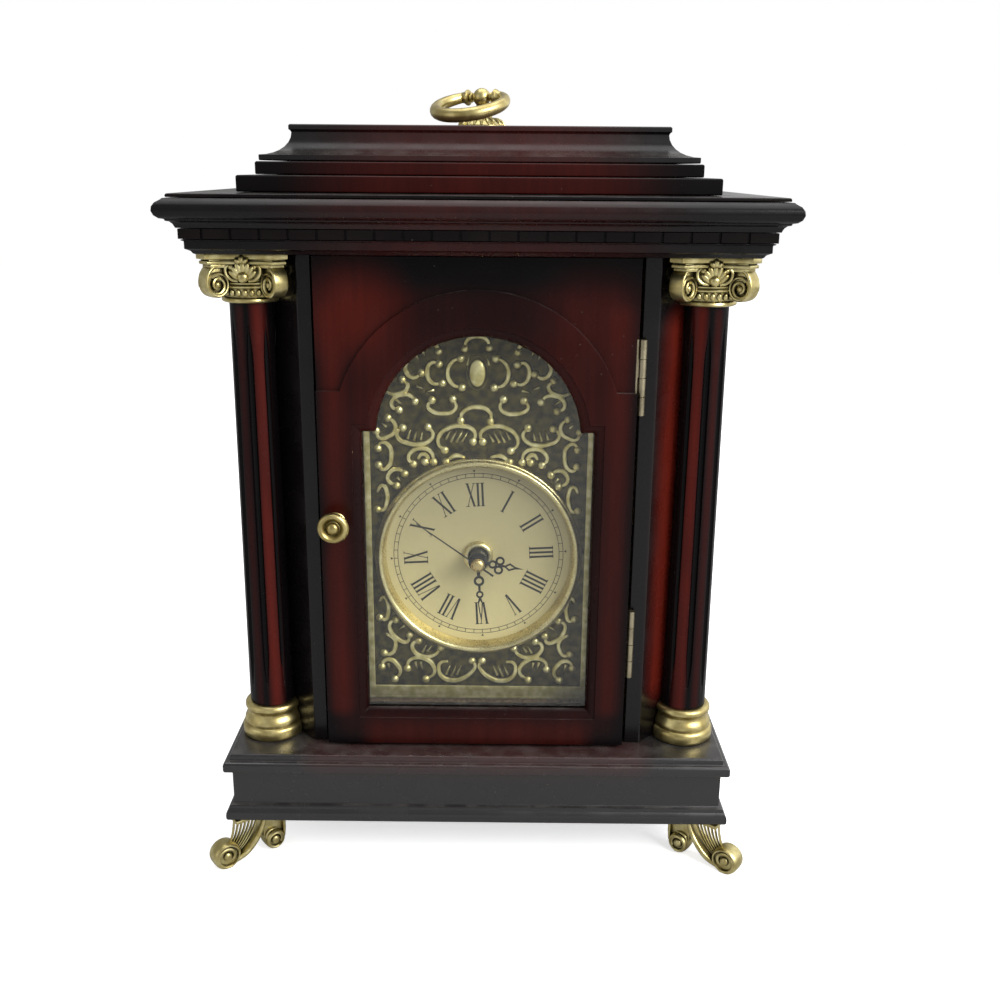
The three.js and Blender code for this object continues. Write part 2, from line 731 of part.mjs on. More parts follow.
const stepZ = doorBottom + stepRise;
const stepRadius = (stepHalfWidth ** 2 + stepArchRise ** 2) / (2 * stepArchRise);
const stepCentre = stepZ + stepArchRise - stepRadius;
const stepSpring = THREE.MathUtils.radToDeg(Math.asin((stepZ - stepCentre) / stepRadius));
const stepLayer = facing([
  [doorLeft, doorBottom], [doorRight, doorBottom], [doorRight, stepZ],
  ...arc(0, stepCentre, stepRadius, stepSpring, 180 - stepSpring, 24), [doorLeft, stepZ],
], doorFront, doorFront + stepDepth + 1);
const doorSlab = box(doorLeft, doorRight, doorFront + stepDepth, doorBack, doorBottom, doorTop);
const doorMortises = hingeCentres.map((z) =>
  box(doorRight - mortise + seat, doorRight + 1, hingeY - barrelRadius - 0.6,
    hingeY + leafWidth + seat, z - hingeLength / 2 - seat, z + hingeLength / 2 + seat));
place('door_frame', cut(join(doorSlab, stepLayer), windowCutter, rebateCutter, ...doorMortises),
  finishes.mahogany);

place('door_glass', arched(rebate + seat, glassFront, glassFront + glassThick), finishes.glass);

const beadFront = glassFront + glassThick + seat;
place('glass_bead', facing(windowOutline(rebate + seat), beadFront, beadFront + beadThick,
  [windowOutline(windowMould).reverse()]), finishes.mahogany);

const knobZ = doorBottom + knobRise;
place('door_knob', turnedAlongY([[0, doorFront - knobLength], [2.4, doorFront - knobLength],
  [3.6, doorFront - knobLength + 0.9], [4.4, doorFront - knobLength + 0.5],
  [knobRadius - 0.8, doorFront - knobLength + 0.4], [knobRadius, doorFront - knobLength + 1.4],
  [knobRadius - 0.5, doorFront - knobLength + 3], [3.4, doorFront - 4.4], [3.2, doorFront - 2],
  [4.6, doorFront - 0.9], [4.8, doorFront - seat], [0, doorFront - seat]], 28, knobX, knobZ),
finishes.antiqueBrass);

// A butt hinge of two leaves with interleaved knuckles; the carried leaf is bored for the fixed
// leaf's pin. Its axis is upright at x, y. Each leaf is a plate, and a tongue that carries the plate
// to the knuckles where it doesn't meet them by itself, both given as [x0, x1, y0, y1].
function hinge(x, y, z, length, count, fixedLeaf, carriedLeaf) {
  const pitch = length / count;
  const bottom = z - length / 2;
  const knuckle = (i, radius, slack) => upright(circle(x, y, radius, 16),
    bottom + i * pitch - slack, bottom + (i + 1) * pitch + slack);
  const knuckleAt = (parity) => [...Array(count).keys()].filter((i) => i % 2 === parity);
  const pin = upright(circle(x, y, pinRadius, 12), bottom + 0.5, bottom + length);
  const leaf = ({ plate, tongue }, own) => {
    const body = [plate, tongue].filter(Boolean).map((b) => box(...b, bottom, bottom + length));
    const solid = join(...body, ...knuckleAt(own).map((i) => knuckle(i, barrelRadius, 0)));
    const clear = knuckleAt(1 - own).map((i) => knuckle(i, barrelRadius + knuckleGap, knuckleGap / 2));
    return cut(solid, ...clear);
  };
  const bore = upright(circle(x, y, pinRadius + pinClearance, 12), bottom - 1, bottom + length + 1);
  return { fixed: join(leaf(fixedLeaf, 1), pin), carried: cut(leaf(carriedLeaf, 0), bore) };
}

const leafEnd = hingeY + leafWidth;
const caseLeaf = { plate: [hingeX - leafThick / 2, hingeX + leafThick / 2, hingeY, leafEnd] };
const doorLeaf = {
  plate: [doorRight - leafThick, doorRight, hingeY, leafEnd],
  tongue: [doorRight - leafThick, hingeX, hingeY, hingeY + leafThick],
};
[['lower', hingeCentres[0]], ['upper', hingeCentres[1]]].forEach(([name, z]) => {
  const { fixed, carried } = hinge(hingeX, hingeY, z, hingeLength, 4, caseLeaf, doorLeaf);
  place(`hinge_case_leaf_${name}`, fixed, finishes.brass);
  place(`hinge_door_leaf_${name}`, carried, finishes.brass);
});

// A magnet on the dial board holds a steel plate on the back of the door.
const strikeBack = doorBack + seat + 0.8;
const magnetX = knobX;
place('strike_plate', box(magnetX - magnetSize.width / 2, magnetX + magnetSize.width / 2,
  doorBack + seat, strikeBack, knobZ - magnetSize.height / 2, knobZ + magnetSize.height / 2),
finishes.steel);
place('catch_magnet', box(magnetX - magnetSize.width / 2, magnetX + magnetSize.width / 2,
  strikeBack + seat, boardFront - seat, knobZ - magnetSize.height / 2, knobZ + magnetSize.height / 2),
finishes.blackSteel);

// ---- Dial ----

const roundHole = (radius, sides, y0, y1) =>
  facing(circle(0, dialZ, radius, sides), y0 - 1, y1 + 1);
const shaftHole = (radius, y0, y1) => roundHole(radius, 24, y0, y1);

const plateHalfWidth = windowHalfWidth + plateLap;
place('dial_plate', cut(facing([
  [-plateHalfWidth, dialZ - plateBelow], [plateHalfWidth, dialZ - plateBelow],
  ...arc(0, dialZ + plateArchRise, plateHalfWidth, 0, 180, 24),
], plateFront, plateFront + plateThick),
roundHole(bezelBore + bezelWall + seat, dialSides, plateFront, plateFront + plateThick)),
finishes.antiqueBrass);

const bezelBack = plateFront - seat;
const discFront = plateFront + discSink;
const sleeveEnd = discFront - seat;
place('dial_bezel', turnedAlongY([[bezelBore - bezelTaper, sleeveEnd], [bezelBore, bezelBack - 1.6],
  [bezelBore + 0.8, bezelBack - bezelHeight + 0.5], [bezelBore + 1.8, bezelBack - bezelHeight],
  [bezelRadius - 1, bezelBack - bezelHeight + 1.2], [bezelRadius, bezelBack - 1],
  [bezelRadius, bezelBack], [bezelBore + bezelWall, bezelBack], [bezelBore + bezelWall, sleeveEnd],
  [bezelBore - bezelTaper, sleeveEnd]], dialSides, 0, dialZ), finishes.brass);

place('dial_disc', cut(facing(circle(0, dialZ, bezelBore + bezelWall, dialSides), discFront,
  discFront + discThick), shaftHole(bushRadius + 0.5, discFront, discFront + discThick)),
finishes.champagne);

place('hand_nut', cut(facing(circle(0, dialZ, nutRadius, 24), discFront - seat - nutThick,
  discFront - seat), shaftHole(bushRadius + shaftClearance, discFront - nutThick - 1, discFront)),
finishes.brass);

// ---- Movement ----

const half = batteryLength / 2 + contactRoom + movementWall;
const wallInside = movementFront + movementWall;
const coverFront = movementBack - movementWall;
const bayTop = dialZ - bayDrop;
const cellTop = bayTop - movementWall;
const cellBottom = cellTop - 2 * (batteryRadius + cellGap);
const movementTop = dialZ + half;
const movementBottom = cellBottom - movementWall;
const wheelTurn = 60; // direction of the minute wheel from the dial centre, degrees above level
const wheelReach = ((cannonTeeth + minuteWheelTeeth) / 2) * gearModule;
const wheelX = wheelReach * Math.cos(rad(wheelTurn));
const wheelZ = dialZ + wheelReach * Math.sin(rad(wheelTurn));
const setReach = ((setTeeth + minuteWheelTeeth) / 2) * gearModule;
const setX = wheelX + setReach;
const setZ = wheelZ;

const movementOuter = facing(rectangle(-half, half, movementBottom, movementTop), movementFront,
  movementBack - movementWall - seat);
const gearRoom = facing(rectangle(-half + movementWall, half - movementWall, bayTop,
  movementTop - movementWall), wallInside, movementBack);
const cellRoom = facing(rectangle(-half + movementWall, half - movementWall, cellBottom, cellTop),
  wallInside, movementBack);
const bush = facing(circle(0, dialZ, bushRadius, 20), plateFront - bushFront, movementFront + 1);
const bushBore = facing(circle(0, dialZ, pipeRadius + shaftClearance, 20),
  plateFront - bushFront - 1, wallInside + 1);
const hourGearFront = wallInside + seat;
const trainFront = hourGearFront + gearThick + gearLayerGap;
const trainBack = trainFront + gearThick;
const wheelStud = facing(circle(wheelX, wheelZ, studRad, 10), wallInside - 0.5, trainBack + 1.3);
place('movement_case', join(cut(join(movementOuter, bush), gearRoom, cellRoom, bushBore), wheelStud),
  finishes.plastic);

const rearBoss = facing(circle(0, dialZ, rearBossRadius, 16), coverFront - rearBossSink,
  coverFront + movementWall / 2);
const rearBore = facing(circle(0, dialZ, secondRadius + shaftClearance, 12),
  coverFront - rearBossSink - 1, coverFront - 1);
const setBore = facing(circle(setX, setZ, arborRadius + shaftClearance, 16), coverFront - 1,
  movementBack + 1);
const cellWindow = facing(rectangle(-half + movementWall, half - movementWall, cellBottom,
  cellTop), coverFront - 1, movementBack + 1);
place('movement_cover', cut(join(facing(rectangle(-half, half, movementBottom, movementTop),
  coverFront, movementBack), rearBoss), rearBore, setBore, cellWindow), finishes.plastic);

// A gear outline with straight-sided teeth; one tooth points at the angle given, in degrees.
function gearOutline(x, z, teeth, phase) {
  const root = (teeth / 2 - 1.1) * gearModule;
  const tip = (teeth / 2 + 0.75) * gearModule;
  const pitch = 360 / teeth;
  return Array.from({ length: teeth }, (_, i) => phase + i * pitch).flatMap((angle) =>
    [[root, -0.27], [tip, -0.12], [tip, 0.12], [root, 0.27]].map(([radius, share]) => [
      x + radius * Math.cos(rad(angle + share * pitch)),
      z + radius * Math.sin(rad(angle + share * pitch)),
    ]));
}

// Each gear in the train has a tooth, or a gap, on the line to its neighbour.
const cannonPhase = wheelTurn;
const minuteWheelPhase = wheelTurn + 180 + 180 / minuteWheelTeeth;
const minutePinionPhase = wheelTurn + 180;
const hourWheelPhase = wheelTurn + 180 / hourWheelTeeth;
const wheelPitch = 360 / minuteWheelTeeth;
const nearestTooth = minuteWheelPhase - wheelPitch * Math.round(minuteWheelPhase / wheelPitch);
const setPhase = 180 - (nearestTooth * minuteWheelTeeth) / setTeeth + 180 / setTeeth;

const tube = (outer, inner, y0, y1) =>
  facing(circle(0, dialZ, outer, 20), y0, y1, [circle(0, dialZ, inner, 16).reverse()]);

const pipeFront = plateFront - hourHandFront - handThick;
const arborFront = plateFront - minuteHandFront - handThick;
place('hour_wheel', join(
  cut(facing(gearOutline(0, dialZ, hourWheelTeeth, hourWheelPhase), hourGearFront,
    hourGearFront + gearThick), shaftHole(arborRadius + shaftClearance, hourGearFront,
    hourGearFront + gearThick)),
  tube(pipeRadius, arborRadius + shaftClearance, pipeFront - 0.3, hourGearFront + 0.5),
), finishes.brass);

const cannonBack = trainBack + seat;
place('cannon_pinion', join(
  cut(facing(gearOutline(0, dialZ, cannonTeeth, cannonPhase), trainFront - 0.2, cannonBack),
    shaftHole(secondRadius + shaftClearance, trainFront, cannonBack)),
  tube(arborRadius, secondRadius + shaftClearance, arborFront - 0.3, trainFront),
), finishes.brass);

place('minute_wheel', cut(join(
  facing(gearOutline(wheelX, wheelZ, minuteWheelTeeth, minuteWheelPhase), trainFront, trainBack),
  facing(gearOutline(wheelX, wheelZ, minutePinionTeeth, minutePinionPhase), hourGearFront,
    trainFront + 0.2),
), facing(circle(wheelX, wheelZ, studRad + shaftClearance, 12), hourGearFront - 1,
  trainBack + 1)), finishes.whitePlastic);

// The knob's finger grip: a round with shallow notches.
function gripOutline(notches) {
  return Array.from({ length: notches * 2 }, (_, i) => {
    const angle = (i * Math.PI) / notches;
    const radius = setKnobRadius - (i % 2) * 0.5;
    return [setX + radius * Math.cos(angle), setZ + radius * Math.sin(angle)];
  });
}

const setKnobFront = movementBack + seat;
place('setting_knob', join(
  facing(gearOutline(setX, setZ, setTeeth, setPhase), trainFront - 0.1, trainBack + 0.1),
  facing(circle(setX, setZ, arborRadius, 16), trainBack, setKnobFront + 0.5),
  facing(gripOutline(24), setKnobFront, setKnobFront + setKnobLength),
), finishes.plastic);

// A bobbin with two flanges, and the board beside it, against the case's left wall.
const coilStart = -half + movementWall + 1;
const coilZ = movementTop - 12;
place('coil', join(
  facing(rectangle(coilStart + 1, coilStart + 16, coilZ - 4, coilZ + 4), wallInside + seat,
    wallInside + 7),
  ...[coilStart, coilStart + 15].map((x) => facing(rectangle(x, x + 2, coilZ - 5.5, coilZ + 5.5),
    wallInside + seat, wallInside + 8)),
), finishes.copper);
place('circuit_board', box(coilStart, -12, wallInside + seat, wallInside + seat + 1.2,
  bayTop + 2, coilZ - 6.5), finishes.circuit);

const cellZ = (cellBottom + cellTop) / 2;
const cellY = wallInside + seat + batteryRadius;
const nub = 2.6;
const cellProfile = [[0, -batteryLength / 2], [batteryRadius - 1, -batteryLength / 2],
  [batteryRadius, -batteryLength / 2 + 0.6], [batteryRadius, batteryLength / 2 - 1.6],
  [batteryRadius - 0.8, batteryLength / 2 - 1], [nub, batteryLength / 2 - 1],
  [nub, batteryLength / 2], [0, batteryLength / 2]];
const cellShape = turned(cellProfile, 24).rotateY(Math.PI / 2).translate(0, cellY, cellZ);
place('battery', closed(cellShape), finishes.cell);

const contactX = half - movementWall - seat;
sideNames.forEach(([side, sx]) => {
  const name = side === 'right' ? 'contact_positive' : 'contact_negative';
  const strip = box(contactX - 0.5, contactX, wallInside + 2, coverFront - 1, cellZ - 4, cellZ + 4);
  const lip = box(contactX - 0.9, contactX - 0.4, wallInside + 4, wallInside + 10, cellZ - 2, cellZ + 2);
  place(name, mirrored(join(strip, lip), sx, 1), finishes.steel);
});

// ---- Hands ----

// Hands are drawn pointing to twelve and then turned clockwise to the time shown.
function hand(outline, holes, angle, front) {
  const y0 = plateFront - front - handThick;
  const flat = closed(facing(outline, y0, y0 + handThick, holes));
  return flat.rotateY(rad(angle)).translate(0, 0, dialZ);
}

const bore = (radius) => circle(0, 0, radius, 16).reverse();

// A hand's outline from its right side: half-widths at heights, mirrored to its left side.
function handOutline(halfWidths, hubRadius) {
  const right = halfWidths.map(([w, z]) => [w, z]);
  const left = [...halfWidths].reverse().slice(halfWidths[halfWidths.length - 1][0] === 0 ? 1 : 0)
    .map(([w, z]) => [-w, z]);
  return [...right, ...left, ...arc(0, 0, hubRadius, 110, 430, 16)];
}

const hourOutline = handOutline([[0.7, 4.6], [1.6, 6], [1.6, 7.6], [2.2, 8], [3.6, 9], [3.6, 10.6],
  [2.2, 11.6], [0.8, 11.4], [0.6, 12.6], [1.8, 14.6], [0.5, 16.6], [0, hourHandLength]], 4.4);
place('hour_hand', hand(hourOutline, [bore(pipeRadius + 0.05)], hourAngle, hourHandFront),
  finishes.blackSteel);

const minuteOutline = handOutline([[0.7, 3.6], [0.8, 5.6], [1.9, 6.7], [1.9, 8.6], [0.8, 9.8],
  [0.6, 12.8], [1.3, 13.8], [1.3, 15.4], [0.6, 16.2], [0.7, 22.4], [0, minuteHandLength]], 3.2);
place('minute_hand', hand(minuteOutline, [bore(arborRadius + 0.05)], minuteAngle, minuteHandFront),
  finishes.blackSteel);

// The second hand and its long thin arbor, which ends in the boss on the movement's cover.
const secondY = plateFront - secondHandFront;
const secondBlade = hand([[0.35, 0], [0.2, secondHandLength], [-0.2, secondHandLength], [-0.35, 0],
  [-0.4, -secondTailLength], [0.4, -secondTailLength]], [], secondAngle, secondHandFront);
const secondArbor = facing(circle(0, dialZ, secondRadius, 12), secondY - 0.3, coverFront - 1.3);
const secondCap = turnedAlongY([[0, secondY - 2], [1.6, secondY - 1.9], [2.7, secondY - 1.4],
  [3, secondY - 0.8], [3, secondY - 0.2], [2.2, secondY + 0.4], [0, secondY + 0.4]], 20, 0, dialZ);
place('second_hand', join(secondBlade, secondArbor, secondCap), finishes.brass);

// ---- Back ----

const backPanelFront = bodyBack - backThick;
const backX = bodySide - wallThick - seat;
const backDoorZ = floorTop + backDoorRise;
const backDoorBottom = backDoorZ - backDoorHeight / 2;
const backDoorTop = backDoorZ + backDoorHeight / 2;
const backOpenX = backDoorHalfWidth + backDoorGap;
const backOpening = box(-backOpenX, backOpenX, bodyBack - backDoorThick - seat, bodyBack + 1,
  backDoorBottom - backDoorGap, backDoorTop + backDoorGap);
const backStop = box(-backOpenX + backStopWidth, backOpenX - backStopWidth, backPanelFront - 1,
  bodyBack, backDoorBottom - backDoorGap + backStopWidth, backDoorTop + backDoorGap - backStopWidth);
place('back_panel', cut(box(-backX, backX, backPanelFront, bodyBack, floorTop, wallTop), backOpening,
  backStop), finishes.mahogany);

place('back_door', box(-backDoorHalfWidth, backDoorHalfWidth, bodyBack - backDoorThick, bodyBack,
  backDoorBottom, backDoorTop), finishes.mahogany);

const backKnobX = -backDoorHalfWidth + 12;
place('back_door_knob', turnedAlongY([[0, bodyBack + seat], [3.4, bodyBack + seat],
  [3, bodyBack + 2], [2.4, bodyBack + 4], [backKnobRadius - 0.6, bodyBack + 5.4],
  [backKnobRadius, bodyBack + 7], [backKnobRadius - 1.2, bodyBack + backKnobLength - 0.4],
  [0, bodyBack + backKnobLength]], 20, backKnobX, backDoorZ), finishes.brass);

const backHingeX = backDoorHalfWidth + backHingeOutX;
const backHingeY = bodyBack + seat + barrelRadius;
const backLeafY = bodyBack + seat;
const backLeafEnd = backLeafY + leafThick;
const backCaseLeaf = { plate: [backHingeX, backHingeX + leafWidth, backLeafY, backLeafEnd] };
const backDoorLeaf = { plate: [backHingeX - leafWidth, backHingeX, backLeafY, backLeafEnd] };
const backHinge = hinge(backHingeX, backHingeY, backDoorZ, backHingeLength, 8, backCaseLeaf,
  backDoorLeaf);
place('back_hinge_case_leaf', backHinge.fixed, finishes.brass);
place('back_hinge_door_leaf', backHinge.carried, finishes.brass);

// ---- Ring handle ----

const rosetteProfile = [[studRadius + seat, 0], [rosetteRadius, 0], [rosetteRadius, 0.9],
  [rosetteRadius - 0.6, 2.6], [rosetteRadius - 2.4, 4.2], [5, 4.7], [4.4, rosetteHeight],
  [studRadius + seat, rosetteHeight], [studRadius + seat, 0]];
place('handle_rosette', turned(raised(rosetteProfile, capTop + seat), 30), finishes.antiqueBrass);

const ballZ = capTop + ballRise;
const postFoot = capTop + rosetteHeight + 2 * seat;
const studEnd = crownTop + seat;
const ballArc = arc(0, ballZ, ballRadius, -52, 90, 9);
const postSolid = turned([[0, studEnd], [studRadius, studEnd], [studRadius, postFoot],
  [3.6, postFoot], [3.8, postFoot + 0.8], [3.2, postFoot + 1.6], [2.3, postFoot + 2.6],
  ...ballArc.slice(0, -1), [0, ballZ + ballRadius]], 24);
const pivotAxis = new THREE.Vector3(Math.cos(rad(ringTurn)), -Math.sin(rad(ringTurn)), 0);
const droop = rad(ringDroop);
const ringDirection = new THREE.Vector3(-Math.sin(rad(ringTurn)) * Math.cos(droop),
  -Math.cos(rad(ringTurn)) * Math.cos(droop), -Math.sin(droop));
const ringNormal = pivotAxis.clone().cross(ringDirection);
const ringPlace = new THREE.Matrix4().makeBasis(pivotAxis, ringDirection, ringNormal)
  .setPosition(0, 0, ballZ);
const pivotBore = turned([[0, -6], [ringPinRadius + seat, -6], [ringPinRadius + seat, 6], [0, 6]], 16)
  .rotateY(Math.PI / 2).applyMatrix4(ringPlace);
place('handle_post', cut(postSolid, pivotBore), finishes.antiqueBrass);

// The ring, in its own plane: X along the pivot, Y away from it. Its ends meet two turned collars.
function handleRing() {
  const centreY = Math.sqrt(ringRadius ** 2 - ringHalfChord ** 2);
  const startAngle = Math.atan2(-centreY, ringHalfChord);
  const sweep = 2 * Math.PI - (Math.PI + 2 * startAngle);
  const steps = 30;
  const sides = 10;
  const rings = Array.from({ length: steps + 1 }, (_, i) => {
    const along = i / steps;
    const angle = startAngle + sweep * along;
    const swell = Math.sin(Math.PI * along) ** 0.7;
    const tubeRadius = ringTubeEnd + (ringTubeMiddle - ringTubeEnd) * swell;
    return Array.from({ length: sides }, (_unused, j) => {
      const around = (j / sides) * 2 * Math.PI;
      const reach = ringRadius + tubeRadius * Math.cos(around);
      return [reach * Math.cos(angle), centreY + reach * Math.sin(angle),
        tubeRadius * Math.sin(around)];
    });
  });
  const collar = turned([[0, 2], [ringPinRadius, 2], [ringPinRadius, 4.3], [1.9, 4.5], [2.1, 5.2],
    [1.6, 5.9], [3.3, 6.2], [3.3, 7.2], [2.6, 8], [ringTubeEnd, ringHalfChord + 0.6],
    [0, ringHalfChord + 0.6]], 16).rotateY(Math.PI / 2);
  return join(skin(rings), collar, mirrored(collar, -1, 1)).applyMatrix4(ringPlace);
}
place('handle_ring', closed(handleRing()), finishes.antiqueBrass);

export default clock;
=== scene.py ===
import bpy
import json
import math
from mathutils import Matrix, Vector


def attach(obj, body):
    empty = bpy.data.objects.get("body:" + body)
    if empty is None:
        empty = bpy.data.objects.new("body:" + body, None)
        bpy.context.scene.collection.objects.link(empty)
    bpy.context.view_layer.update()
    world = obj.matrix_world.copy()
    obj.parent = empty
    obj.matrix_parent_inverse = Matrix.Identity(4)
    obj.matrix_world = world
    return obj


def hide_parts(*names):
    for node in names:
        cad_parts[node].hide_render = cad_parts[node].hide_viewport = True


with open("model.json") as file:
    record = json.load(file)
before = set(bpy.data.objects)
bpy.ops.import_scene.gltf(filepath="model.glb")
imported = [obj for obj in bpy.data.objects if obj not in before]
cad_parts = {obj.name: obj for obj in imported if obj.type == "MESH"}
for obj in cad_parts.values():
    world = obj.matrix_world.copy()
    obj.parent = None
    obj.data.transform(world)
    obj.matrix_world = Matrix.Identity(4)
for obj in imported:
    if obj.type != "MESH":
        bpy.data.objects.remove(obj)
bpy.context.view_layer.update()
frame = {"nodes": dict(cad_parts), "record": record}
nodes = frame["nodes"]
scene = bpy.context.scene
bodyOf = {name: body for body, members in frame["record"]["behaviour"]["bodies"].items()
          for name in members}
mm = 0.001
caseCentre = {"dialZ": 141.7}
print("frame loaded:", len(nodes), "pieces")


def deselectAll():
    if bpy.context.object and bpy.context.object.mode != "OBJECT":
        bpy.ops.object.mode_set(mode="OBJECT")
    bpy.ops.object.select_all(action="DESELECT")


def choose(*pieces):
    deselectAll()
    for piece in pieces:
        piece.select_set(True)
    bpy.context.view_layer.objects.active = pieces[0]


def applyModifier(piece, kind, **settings):
    choose(piece)
    modifier = piece.modifiers.new("step", kind)
    for name, value in settings.items():
        setattr(modifier, name, value)
    bpy.ops.object.modifier_apply(modifier=modifier.name)


# Puts the piece's place, given in mm and degrees, into its mesh.
def settle(piece, place=(0, 0, 0), turn=(0, 0, 0), scale=(1, 1, 1)):
    piece.location = Vector(place) * mm
    piece.rotation_euler = [math.radians(a) for a in turn]
    piece.scale = scale
    choose(piece)
    bpy.ops.object.transform_apply(location=True, rotation=True, scale=True)
    return piece


def editMesh(piece, *steps):
    choose(piece)
    bpy.ops.object.mode_set(mode="EDIT")
    for step in steps:
        bpy.ops.mesh.select_all(action="SELECT")
        step()
    bpy.ops.object.mode_set(mode="OBJECT")


def mergeDoubles(piece, distance=0.004):
    editMesh(piece, lambda: bpy.ops.mesh.remove_doubles(threshold=distance * mm),
             lambda: bpy.ops.mesh.normals_make_consistent(inside=False))
    return piece


def joined(name, pieces):
    choose(*pieces)
    if len(pieces) > 1:
        bpy.ops.object.join()
    piece = bpy.context.object
    piece.name = name
    piece.data.name = name
    return piece


def smoothed(piece, angle=35):
    choose(piece)
    bpy.ops.object.shade_smooth_by_angle(angle=math.radians(angle))
    return piece


def copied(piece, name):
    twin = piece.copy()
    twin.data = piece.data.copy()
    twin.name = name
    scene.collection.objects.link(twin)
    return twin


def mirroredCopy(piece, name, sx, sy):
    twin = settle(copied(piece, name), scale=(sx, sy, 1))
    if sx * sy < 0:
        editMesh(twin, lambda: bpy.ops.mesh.normals_make_consistent(inside=False))
    return twin


def dressed(piece, body, slot, material, *replaced):
    piece.data.materials.clear()
    piece.data.materials.append(material)
    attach(piece, body)
    if replaced:
        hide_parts(*replaced)
    return piece


# A point of a path is [x, y], [x, y, z] or [x, y, z, share of the thickness].
def curvePiece(name, paths, closed, smoothPath=False, unit=mm, **settings):
    curve = bpy.data.curves.new(name, "CURVE")
    curve.dimensions = "3D"
    for setting, value in settings.items():
        setattr(curve, setting, value)
    for path in paths:
        spline = curve.splines.new("BEZIER" if smoothPath else "POLY")
        points = spline.bezier_points if smoothPath else spline.points
        points.add(len(path) - 1)
        for point, spot in zip(points, path):
            x, y, z, radius = (list(spot) + [0, 1][len(spot) - 2:] if len(spot) < 4 else spot)
            if smoothPath:
                point.co = (x * unit, y * unit, z * unit)
                point.handle_left_type = point.handle_right_type = "AUTO"
            else:
                point.co = (x * unit, y * unit, z * unit, 1)
            point.radius = radius
        spline.use_cyclic_u = closed
    piece = bpy.data.objects.new(name, curve)
    scene.collection.objects.link(piece)
    choose(piece)
    bpy.ops.object.convert(target="MESH")
    return bpy.context.object


# Spins a profile of [radius, height] about the upright axis, or about one along Y.
def turnedPiece(name, profile, place=(0, 0, 0), alongY=False, steps=72):
    piece = curvePiece(name, [[[r, 0, h, 1] for r, h in profile]], False)
    editMesh(piece, lambda: bpy.ops.mesh.spin(steps=steps, angle=math.tau, center=(0, 0, 0),
                                              axis=(0, 0, 1)))
    mergeDoubles(piece, 0.002)
    return smoothed(settle(piece, place, (-90 if alongY else 0, 0, 0)), 40)


# A rounded bar or strap along a smooth path in its own X and Y; halfWidth is along its Z.
def sweep(name, path, thick, halfWidth=0.0, around=2, along=6, closed=False):
    piece = curvePiece(name, [path], closed, True, resolution_u=along, twist_mode="Z_UP",
                       bevel_depth=thick / 2 * mm, bevel_resolution=around,
                       extrude=halfWidth * mm, use_fill_caps=True)
    return mergeDoubles(piece)


# Cuts a sheet to closed outlines in X and Y; an outline inside another is a hole. It is drawn
# large and then scaled to mm, because very small outlines are left out when a curve is filled.
def flatPiece(name, outlines, depth, edge=0.0):
    piece = curvePiece(name, outlines, True, unit=1, dimensions="2D", fill_mode="BOTH",
                       extrude=depth / 2 - edge, bevel_depth=edge, offset=-edge,
                       bevel_resolution=1)
    return mergeDoubles(settle(piece, scale=(mm, mm, mm)), 0.001)


# Printed strokes of one thickness, flattened until they barely stand up.
def inkLines(name, paths, thick):
    piece = curvePiece(name, paths, False, unit=1, bevel_depth=thick / 2, bevel_resolution=0,
                       use_fill_caps=True)
    return mergeDoubles(settle(piece, scale=(mm, mm, 0.3 * mm)), 0.001)


def arc(x, y, radius, start, end, steps):
    return [[x + radius * math.cos(math.radians(start + (end - start) * i / steps)),
             y + radius * math.sin(math.radians(start + (end - start) * i / steps))]
            for i in range(steps + 1)]


def ring(x, y, radius, steps=24):
    return arc(x, y, radius, 0, 360, steps)[:-1]


def spiral(x, y, fromRadius, toRadius, start, end, steps):
    path = []
    for i in range(steps + 1):
        share = i / steps
        radius = fromRadius + (toRadius - fromRadius) * share
        angle = math.radians(start + (end - start) * share)
        path.append([x + radius * math.cos(angle), y + radius * math.sin(angle)])
    return path


def ball(name, place, size, segments=16, rings=8):
    deselectAll()
    bpy.ops.mesh.primitive_uv_sphere_add(segments=segments, ring_count=rings, radius=1,
                                         location=Vector(place) * mm,
                                         scale=[s * mm for s in size])
    piece = bpy.context.object
    piece.name = name
    bpy.ops.object.transform_apply(location=True, rotation=True, scale=True)
    return piece


def block(name, low, high, edge):
    deselectAll()
    middle = [(a + b) / 2 * mm for a, b in zip(low, high)]
    bpy.ops.mesh.primitive_cube_add(size=1, location=middle,
                                    scale=[(b - a) * mm for a, b in zip(low, high)])
    piece = bpy.context.object
    piece.name = name
    bpy.ops.object.transform_apply(location=True, rotation=True, scale=True)
    applyModifier(piece, "BEVEL", width=edge * mm, segments=2)
    return piece


# A four-sided moulding with mitred corners; the closed profile is [out from the face, height].
def mitredFrame(name, profile, halfX, halfY, place=(0, 0, 0)):
    root2 = math.sqrt(2)
    piece = curvePiece(name, [[[(halfY + out) * root2, 0, z, 1] for out, z in profile]], True)
    editMesh(piece, lambda: bpy.ops.mesh.spin(steps=4, angle=math.tau, center=(0, 0, 0),
                                              axis=(0, 0, 1)))
    mergeDoubles(piece, 0.002)
    piece = settle(piece, turn=(0, 0, 45))
    for side in (-1, 1):
        choose(piece)
        bpy.ops.object.mode_set(mode="EDIT")
        bpy.ops.mesh.select_all(action="DESELECT")
        bpy.ops.object.mode_set(mode="OBJECT")
        for vertex in piece.data.vertices:
            vertex.select = vertex.co.x * side > 0
        bpy.ops.object.mode_set(mode="EDIT")
        bpy.ops.transform.translate(value=(side * (halfX - halfY) * mm, 0, 0))
        bpy.ops.object.mode_set(mode="OBJECT")
    return smoothed(mergeDoubles(settle(piece, place), 0.002), 30)


def looseCopy(name, newName):
    piece = copied(nodes[name], newName)
    for key in list(piece.keys()):
        del piece[key]
    piece.parent = None
    piece.matrix_world = Matrix.Identity(4)
    return piece


